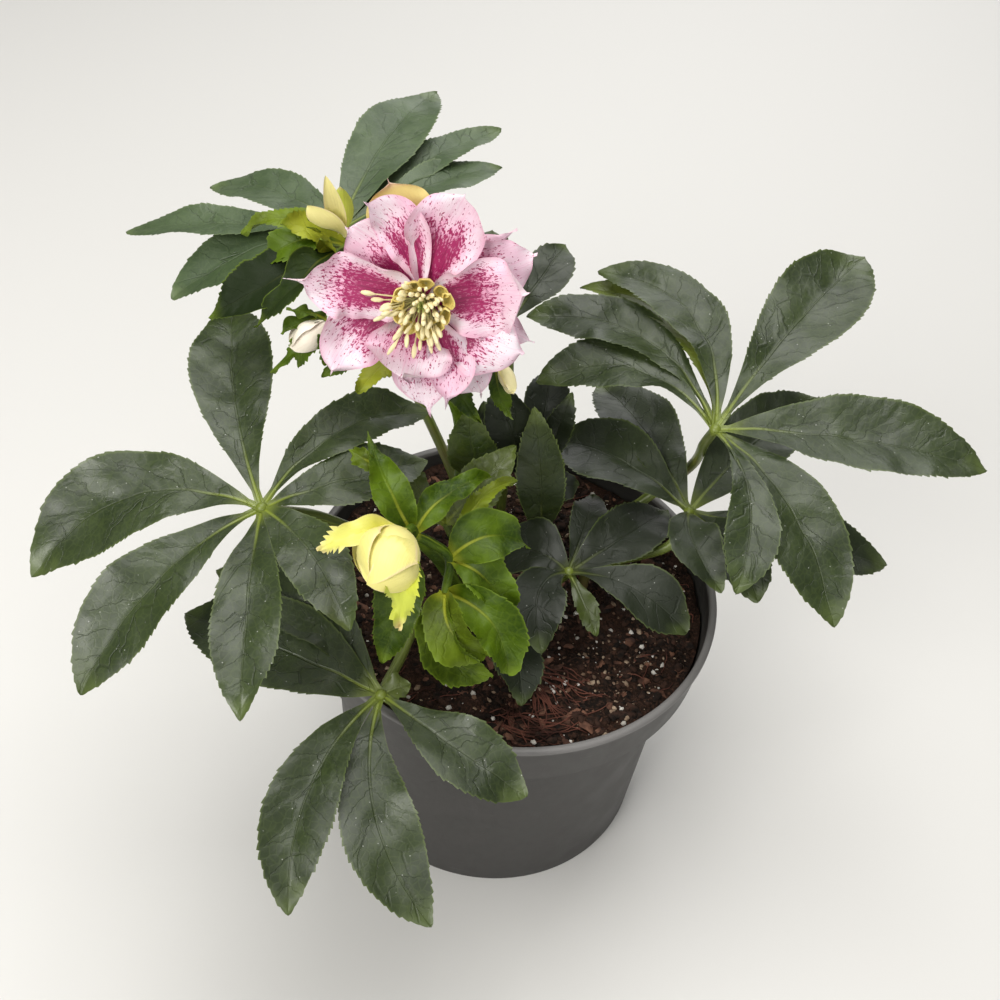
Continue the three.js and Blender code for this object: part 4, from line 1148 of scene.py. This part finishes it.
# %% Low stem and its bracts
BUD_ONE_FORK = (-24, -49, 185)
BUD_ONE_LOW_FORK = (-24, -57, 176)
BUD_ONE_LOBE = (-51.6, -38.4, 215.8)
# A tint above nought is painted shade, one below nought real yellowing.
BUD_ONE_BRACTS = [
    (BUD_ONE_JOINT, (-56, -32, 225), 3, -1, 13, (0, -0.7, 0.7), dict(
        fold=0.45, roll=12, body=0.86, beak=10, full=0.8, tooth=0.3, pucker=0.1)),
    (BUD_ONE_LOBE, (-61.5, -36, 219.5), 2, 0, 6, (-0.4, -0.7, 0.7), dict(tint=-0.1)),
    (BUD_ONE_JOINT, (-13, -27, 205), 4, -4, 11, (0.1, -0.6, 1), dict(
        wave=2.4, widest=0.4, roll=-10, tooth=0.3, pucker=0.1)),
    (BUD_ONE_FORK, (-3, -16, 195), 8, -4, 6, (0, -0.5, 1), dict(tint=-0.3)),
    (BUD_ONE_FORK, (4, -38, 183), 9, -4, 20, (0.1, -0.5, 1), dict(
        tint=0.2, widest=0.42, full=1.05, body=0.92, beak=4, lips=(1.0, -0.5))),
    (BUD_ONE_FORK, (-1, -58, 170), 5, -2, 15, (0.1, -0.5, 1), dict(cup=0.3)),
    (BUD_ONE_LOW_FORK, (-5, -76, 156), 6, 8, 15, (-0.3, -0.8, 0.8), dict(tint=-0.05, cup=0.55, full=0.6)),
    (BUD_ONE_LOW_FORK, (1, -75, 157), 7, -5, 16, (0.4, -0.8, 0.8), dict(tint=0.05, cup=0.6, full=0.6)),
    (BUD_ONE_LOW_FORK, (-8, -72, 163), 9, 3, 15, (-0.3, -0.8, 0.8), dict(tint=-0.1, cup=0.6, full=0.6)),
    (BUD_ONE_JOINT, (-43, -79, 160), -6, 1, 17, (-0.2, -0.9, 0.6), dict(tint=0.2, cup=-0.2)),
]
bm = new_mesh()
add_stem(bm, rooted([(-18, -22), (-20, -26, 140), (-28, -41, 175), BUD_ONE_JOINT]), 2.8, 2.3, count=36)
add_stem(bm, [BUD_ONE_JOINT, (-37.5, -52, 201), (-38.8, -55.4, 202.5)], 1.9, 1.7, count=8)
add_stem(bm, [BUD_ONE_JOINT, (-31, -49, 192), BUD_ONE_FORK, BUD_ONE_LOW_FORK], 1.9, 1.6, count=16)
add_blades(bm, BUD_ONE_BRACTS, 170, BRACT)
finish_piece(bm, "bud_one_stem_fine", "bract_green", "bud_one_stem")

# %% [markdown]
# ## Buds
#
# A closed bud is a few broad petals wrapped over each other round an egg.  The wrap is the same blade
# with a strong arch and its rims bent inwards.  The low bud also has two frilled outer petals.

# %% Buds
# Foot, direction, length, radius, petals, share of the egg inside, fullness and tone.
BUDS = {
    "bud_one_petals": ((-39.2, -56.6, 203), (-0.35, -0.85, -0.1), 24, 11.5, 5, 0.92, 0.75, -0.03),
    "side_bud_petals": ((-76.6, 8, 237.6), (-0.72, -0.66, -0.25), 16, 5.0, 4, 0.86, 0.5, -0.85),
    "low_bud_petals": ((-14.1, 8.9, 228.1), (0.45, -0.6, -0.55), 12, 2.9, 4, 0.86, 0.5, -0.35),
}
BUD_PETAL = dict(
    across=20, along=28, widest=0.5, thick=0.7, fold=0, roll=9, tooth=0, wave=0.3, waves=1.0, pucker=0,
    lumps=0.3,
)
BUD_ONE_FOOT = BUDS["bud_one_petals"][0]
FRILLS = [
    (BUD_ONE_FOOT, (-66, -68, 202), 6, 2, 9, (0, -0.6, 1), dict(
        tint=0.42, toothed=0.72, tooth=1.6, gap=1.6, fold=0.6, wave=1.6, waves=3, ruffle=4)),
    (BUD_ONE_FOOT, (-37.5, -79, 181.5), 6, -1, 10, (0, -0.9, 0.6), dict(
        tint=0.9, toothed=0.3, tooth=1.3, wave=2.6, waves=2.6, ruffle=5)),
]
for order, (name, (foot, points, long, radius, count, core, full, tone)) in enumerate(BUDS.items()):
    bm, egg = new_mesh(), radius * core
    _, part, tint = carried(bm)
    for vert in bmesh.ops.create_uvsphere(bm, u_segments=16, v_segments=10, radius=1)["verts"]:
        vert[part] = (0, 0.7, 0)
        vert[tint] = tone
        vert.co = (vert.co.x * egg, vert.co.y * egg, (vert.co.z + 1) * long * 0.45)
    rows = []
    for k in range(count):
        out = ring_point(1, 2 * math.pi * k / count, 0)
        start = out * 0.8 + Vector((0, 0, 0.6))
        end = out * -0.6 + Vector((0, 0, long * (1 - 0.02 * k)))
        wide = radius * (5.2 + 3.4 / count) / count**0.5
        rows.append((start, end, radius * 0.92, 0, wide, out, {}))
    add_blades(bm, rows, 200 + 10 * order, {**BUD_PETAL, "full": full, "wrap": 1.03 * radius, "tint": tone})
    turned = Vector((0, 0, 1)).rotation_difference(Vector(points).normalized()).to_matrix().to_4x4()
    bm.transform(Matrix.Translation(foot) @ turned)
    if foot == BUD_ONE_FOOT:
        add_blades(bm, FRILLS, 240, BRACT)
    finish_piece(bm, f"{name}_fine", "petal_cream", name)

# %% [markdown]
# ## The opening bud
#
# The bud at the upper left has begun to open: long narrow petals stand out of their bracts.  They
# need no egg inside, so three narrow blades from one foot are enough.

# %% Opening bud
BUD_TWO_FOOT = (-77, 40, 254.6)
BUD_TWO_PETALS = [
    (BUD_TWO_FOOT, (-82, 37, 279), 2, 0, 7, (0.3, -1, 0), dict(tint=-0.12)),
    (BUD_TWO_FOOT, (-88, 34, 268), 4, 2, 15, (-0.4, -1, 0.3), dict(wrap=4.5, tint=-0.12, widest=0.5)),
    (BUD_TWO_FOOT, (-78, 44, 271), 2, 0, 8, (0, 1, 0.2), dict(tint=0.85)),
]
NARROW = dict(
    along=28, widest=0.45, full=0.75, foot=1.4, thick=0.7, fold=0, cup=0.3, tooth=0, wave=0.3, waves=1.0,
    pucker=0,
)
bm = new_mesh()
add_blades(bm, BUD_TWO_PETALS, 250, NARROW)
finish_piece(bm, "bud_two_petals_fine", "petal_cream", "bud_two_petals")

# %% [markdown]
# ## The pot's plastic
#
# Recycled plastic is a warm dark grey with a faint mottle, fine scuffs round it and a paler top to its lip.
# Height drives the paler top of the lip, and a noise stretched round the pot makes the scuffs.

# %% Pot finish
tree, shader = new_finish("pot_plastic")
place = object_place(tree)
_, _, height = split(place)
mottle = cloud(place, 60.0, 3.0)
scuffs = cloud(stretch(place, (60, 60, 700)), 1.0, 3.0)
grey = layered(
    (0.038, 0.036, 0.033),
    (ramp(mottle, 0.3, 0.7), (0.05, 0.047, 0.044)),
    (ramp(scuffs, 0.62, 0.8, 0.0, 0.3), (0.16, 0.155, 0.155)),
    (ramp(height, 0.1215, 0.1228, 0.0, 0.55), (0.26, 0.25, 0.245)),
)
raised = bump(cloud(place, 900.0, 2.0), 0.0002, 0.4)
paint(shader, Base_Color=grey, Roughness=ramp(mottle, 0.3, 0.7, 0.48, 0.62), Normal=raised)
print("pot finish:", len(tree.nodes), "nodes")

# %% [markdown]
# ## The pot
#
# A nursery pot is one thin moulding, so it is a profile spun about its axis.  The profile goes up the
# outside and down the inside.  The drainage holes are cut afterwards with a Boolean modifier, because a
# spin can't leave a hole in its floor.

# %% Pot body
DRAIN_HOLES = 6
POT_PROFILE = [
    (0, 0), (66.6, 0), (68, 0.8), (73.2, 101.2), (73.8, 102), (81.6, 102), (82.3, 102.8), (84.2, 121.2),
    (84.6, 121.6), (85, 122), (85, 123.5), (84.5, 124), (82.5, 124), (82, 123.5), (81.9, 121), (80.5, 107.4),
    (79.6, 106.4), (72.3, 104), (71.6, 103.2), (66.4, 3.4), (65.4, 2.6), (0, 2.6),
]
bm = new_mesh()
add_turned(bm, POT_PROFILE, 160, lambda co: co)
pot = finish_piece(bm, "pot_shell", "pot_plastic", "pot")

bm = bmesh.new()
for k in range(DRAIN_HOLES):
    place = Matrix.Translation(ring_point(48, 2 * math.pi * k / DRAIN_HOLES, 0))
    bmesh.ops.create_cone(bm, cap_ends=True, segments=32, radius1=6, radius2=6, depth=8, matrix=place)
bm.transform(Matrix.Scale(MM, 4))
drill = add_object("drill", to_mesh(bm, "drill"))
cut = pot.modifiers.new("drain holes", "BOOLEAN")
cut.operation = "DIFFERENCE"
cut.object = drill
cut.solver = "EXACT"
bpy.context.view_layer.update()
cut_mesh = bpy.data.meshes.new_from_object(pot.evaluated_get(bpy.context.evaluated_depsgraph_get()))
pot.modifiers.clear()
pot.data = cut_mesh
bpy.data.objects.remove(drill)
print("pot faces after drilling:", len(pot.data.polygons))

# %% [markdown]
# ## The brown of the compost
#
# Damp peat is almost black, with patches of drier brown and a fine grain.  Two noises of very
# different size give both, and the finer one also makes the bump.

# %% Compost finish
tree, shader = new_finish("compost_brown", Roughness=0.9, Specular_IOR_Level=0.2)
place = object_place(tree)
crumbs = cloud(place, 700.0, 4.0, 0.7)
brown = layered(
    (0.007, 0.004, 0.0025),
    (ramp(cloud(place, 90.0, 4.0, 0.6), 0.35, 0.65), (0.029, 0.0135, 0.008)),
    (ramp(crumbs, 0.45, 0.75), (0.085, 0.04, 0.025)),
)
paint(shader, Base_Color=brown, Normal=bump(crumbs, 0.0015, 0.9))
print("compost finish:", len(tree.nodes), "nodes")

# %% [markdown]
# ## Compost
#
# Potting compost lies as a low mound of clods and crumbs, and fills the pot to just under its lip.  The
# body is a grid drawn out to a disc, raised by noise, with its edge pulled down in three steps to make
# the wall inside the pot.

# %% Compost body
RIM_RADIUS = 79.9


def crumbly(x, y):
    """Height of the compost in millimetres: a low mound, lumps, clods and crumbs."""
    mound = 3 * math.exp(-(x * x + y * y) / 1600)
    lumps = math.sin(x * 0.31 + 1.3) * math.cos(y * 0.27) + 0.7 * math.sin(x * 0.13 - y * 0.22 + 2)
    clods = noise.noise(Vector((x * 0.12, y * 0.12, 3)))
    crumbs = noise.noise(Vector((x * 0.45, y * 0.45, 9)))
    return SOIL_LEVEL + mound + 0.9 * lumps - 0.04 * max(x, 0) + 1.6 * clods + 0.8 * crumbs


bm = new_mesh()
for vert in bmesh.ops.create_grid(bm, x_segments=150, y_segments=150, size=1)["verts"]:
    x, y = vert.co.x, vert.co.y
    x, y = RIM_RADIUS * x * math.sqrt(1 - y * y / 2), RIM_RADIUS * y * math.sqrt(1 - x * x / 2)
    vert.co = (x, y, crumbly(x, y))
edge = [e for e in bm.edges if e.is_boundary]
for radius, height in ((80.1, 107.5), (71.1, 103.4), (65.7, 3.2)):
    edge = only(bmesh.types.BMEdge, bmesh.ops.extrude_edge_only(bm, edges=edge)["geom"])
    for vert in {vert for e in edge for vert in e.verts}:
        size = math.hypot(vert.co.x, vert.co.y)
        vert.co = (vert.co.x * radius / size, vert.co.y * radius / size, height)
finish_piece(bm, "compost_body", "compost_brown", "compost", slot="compost")

# %% [markdown]
# ## Finishes for the loose bits
#
# Crumbs, bark, perlite, grit and roots differ mostly in colour: near black, red-brown, chalk white,
# tan and rust.  One mottled recipe takes two colours and a grain size for each.

# %% Finishes for crumbs, bark, perlite, grit and roots


def grain_finish(name, low, high, roughness, scale):
    """A plain mottled finish for small bits."""
    tree, shader = new_finish(name, Roughness=roughness, Specular_IOR_Level=0.25)
    place = object_place(tree)
    colour = blend(ramp(cloud(place, scale, 3.0), 0.35, 0.65), low, high)
    paint(shader, Base_Color=colour, Normal=bump(cloud(place, 1500.0, 2.0), 0.0004, 0.6))


grain_finish("crumb_brown", (0.007, 0.004, 0.0025), (0.041, 0.019, 0.012), 0.9, 250.0)
grain_finish("bark_brown", (0.05, 0.022, 0.014), (0.17, 0.08, 0.05), 0.8, 200.0)
grain_finish("perlite_white", (0.42, 0.39, 0.35), (0.72, 0.69, 0.64), 0.9, 300.0)
grain_finish("grit_tan", (0.12, 0.07, 0.045), (0.36, 0.27, 0.19), 0.85, 260.0)
grain_finish("root_red", (0.035, 0.012, 0.008), (0.14, 0.05, 0.033), 0.8, 120.0)
print("all finishes:", list(FINISHES))

# %% [markdown]
# ## Crumbs, bark and perlite
#
# Loose bits make compost look like compost.  Each is a small closed lump of twenty faces, longer or
# flatter as its kind is, half sunk into the surface.  A seeded dice scatters them, so that the plant is
# the same each time it is built.  Water has washed some of the pale ones together.

# %% Loose bits
LOOSE_REACH = 77
HEAP, HEAP_SPREAD = (42, -38), (19, 15)


def on_compost(dice, reach=LOOSE_REACH):
    """A random place on the surface of the compost."""
    turn, radius = dice.uniform(0, 2 * math.pi), reach * math.sqrt(dice.random())
    x, y = radius * math.cos(turn), radius * math.sin(turn)
    return Vector((x, y, crumbly(x, y)))


def add_lump(bm, place, size, dice, long, tall):
    """A small rough lump, longer or flatter where asked."""
    turn = Matrix.Rotation(dice.uniform(0, 6.28), 3, "Z") @ Matrix.Rotation(dice.uniform(-0.5, 0.5), 3, "X")
    for vert in bmesh.ops.create_icosphere(bm, subdivisions=1, radius=1)["verts"]:
        rough = Vector((vert.co.x * long, vert.co.y, vert.co.z * tall)) * size * dice.uniform(0.7, 1.15)
        vert.co = place + turn @ rough


def scatter_lumps(name, count, sizes, look, seed, long=(1.0, 1.0), tall=0.7, heaped=0):
    """Scatters small lumps; the first ones, as many as heaped says, lie together where water drips."""
    dice = random.Random(seed)
    small, large = sizes
    bm = new_mesh()
    for k in range(count):
        size = small + (large - small) * dice.random() ** 2.5
        place = on_compost(dice)
        if k < heaped:
            x, y = [dice.gauss(middle, spread) for middle, spread in zip(HEAP, HEAP_SPREAD)]
            place = Vector((x, y, crumbly(x, y))) if math.hypot(x, y) < LOOSE_REACH else place
        add_lump(bm, place, size, dice, dice.uniform(*long), tall)
    finish_piece(bm, name, look, slot="compost")


scatter_lumps("compost_crumbs", 2700, (0.4, 2.2), "crumb_brown", 31, long=(1.0, 1.7), tall=0.55)
scatter_lumps("compost_bark", 320, (0.7, 2.6), "bark_brown", 32, long=(1.3, 3.0), tall=0.35)
scatter_lumps("compost_perlite", 300, (0.3, 1.6), "perlite_white", 33, tall=0.8, heaped=35)
scatter_lumps("compost_grit", 640, (0.25, 1.3), "grit_tan", 35, long=(1.0, 1.8), heaped=170)

# %% [markdown]
# ## Roots
#
# Thin rusty roots wander over the surface, and two tufts of them lie in strands, where a plant was
# torn when it was potted.  Each root is a five-sided stem whose heading drifts from step to step, which
# gives the loose curls that a straight line with noise wouldn't.

# %% Roots
ROOTS, STRAND, TUFT = 150, 24, 50
dice = random.Random(34)
bm = new_mesh()
for k in range(ROOTS):
    start, heading, stride = on_compost(dice, 74), dice.uniform(0, 2 * math.pi), 2.5
    thick = dice.uniform(0.2, 0.4)
    if k < STRAND:
        start = Vector((dice.gauss(8, 1.6), dice.gauss(-38, 3), 0))
        heading, stride, thick = dice.gauss(-1.0, 0.15), 5.5, 1.5 * thick
    elif k < TUFT:
        start = Vector((dice.gauss(6, 8), dice.gauss(-65, 4), 0))
        heading, stride = dice.gauss(-0.1, 0.6), 4.0
    path = []
    for step in range(6):
        x, y = start.x, start.y
        path.append(Vector((x, y, crumbly(x, y) + 0.35 + math.sin(step * 0.62) * dice.random())))
        heading += dice.uniform(-0.45, 0.45)
        start = start + ring_point(1, heading, 0) * dice.uniform(0.7, 1.3) * stride
        if math.hypot(start.x, start.y) > LOOSE_REACH:
            start *= LOOSE_REACH / math.hypot(start.x, start.y)
    add_stem(bm, path, thick, 0.16, round_segments=5, count=12, ribs=0)
finish_piece(bm, "compost_roots", "root_red", slot="compost")
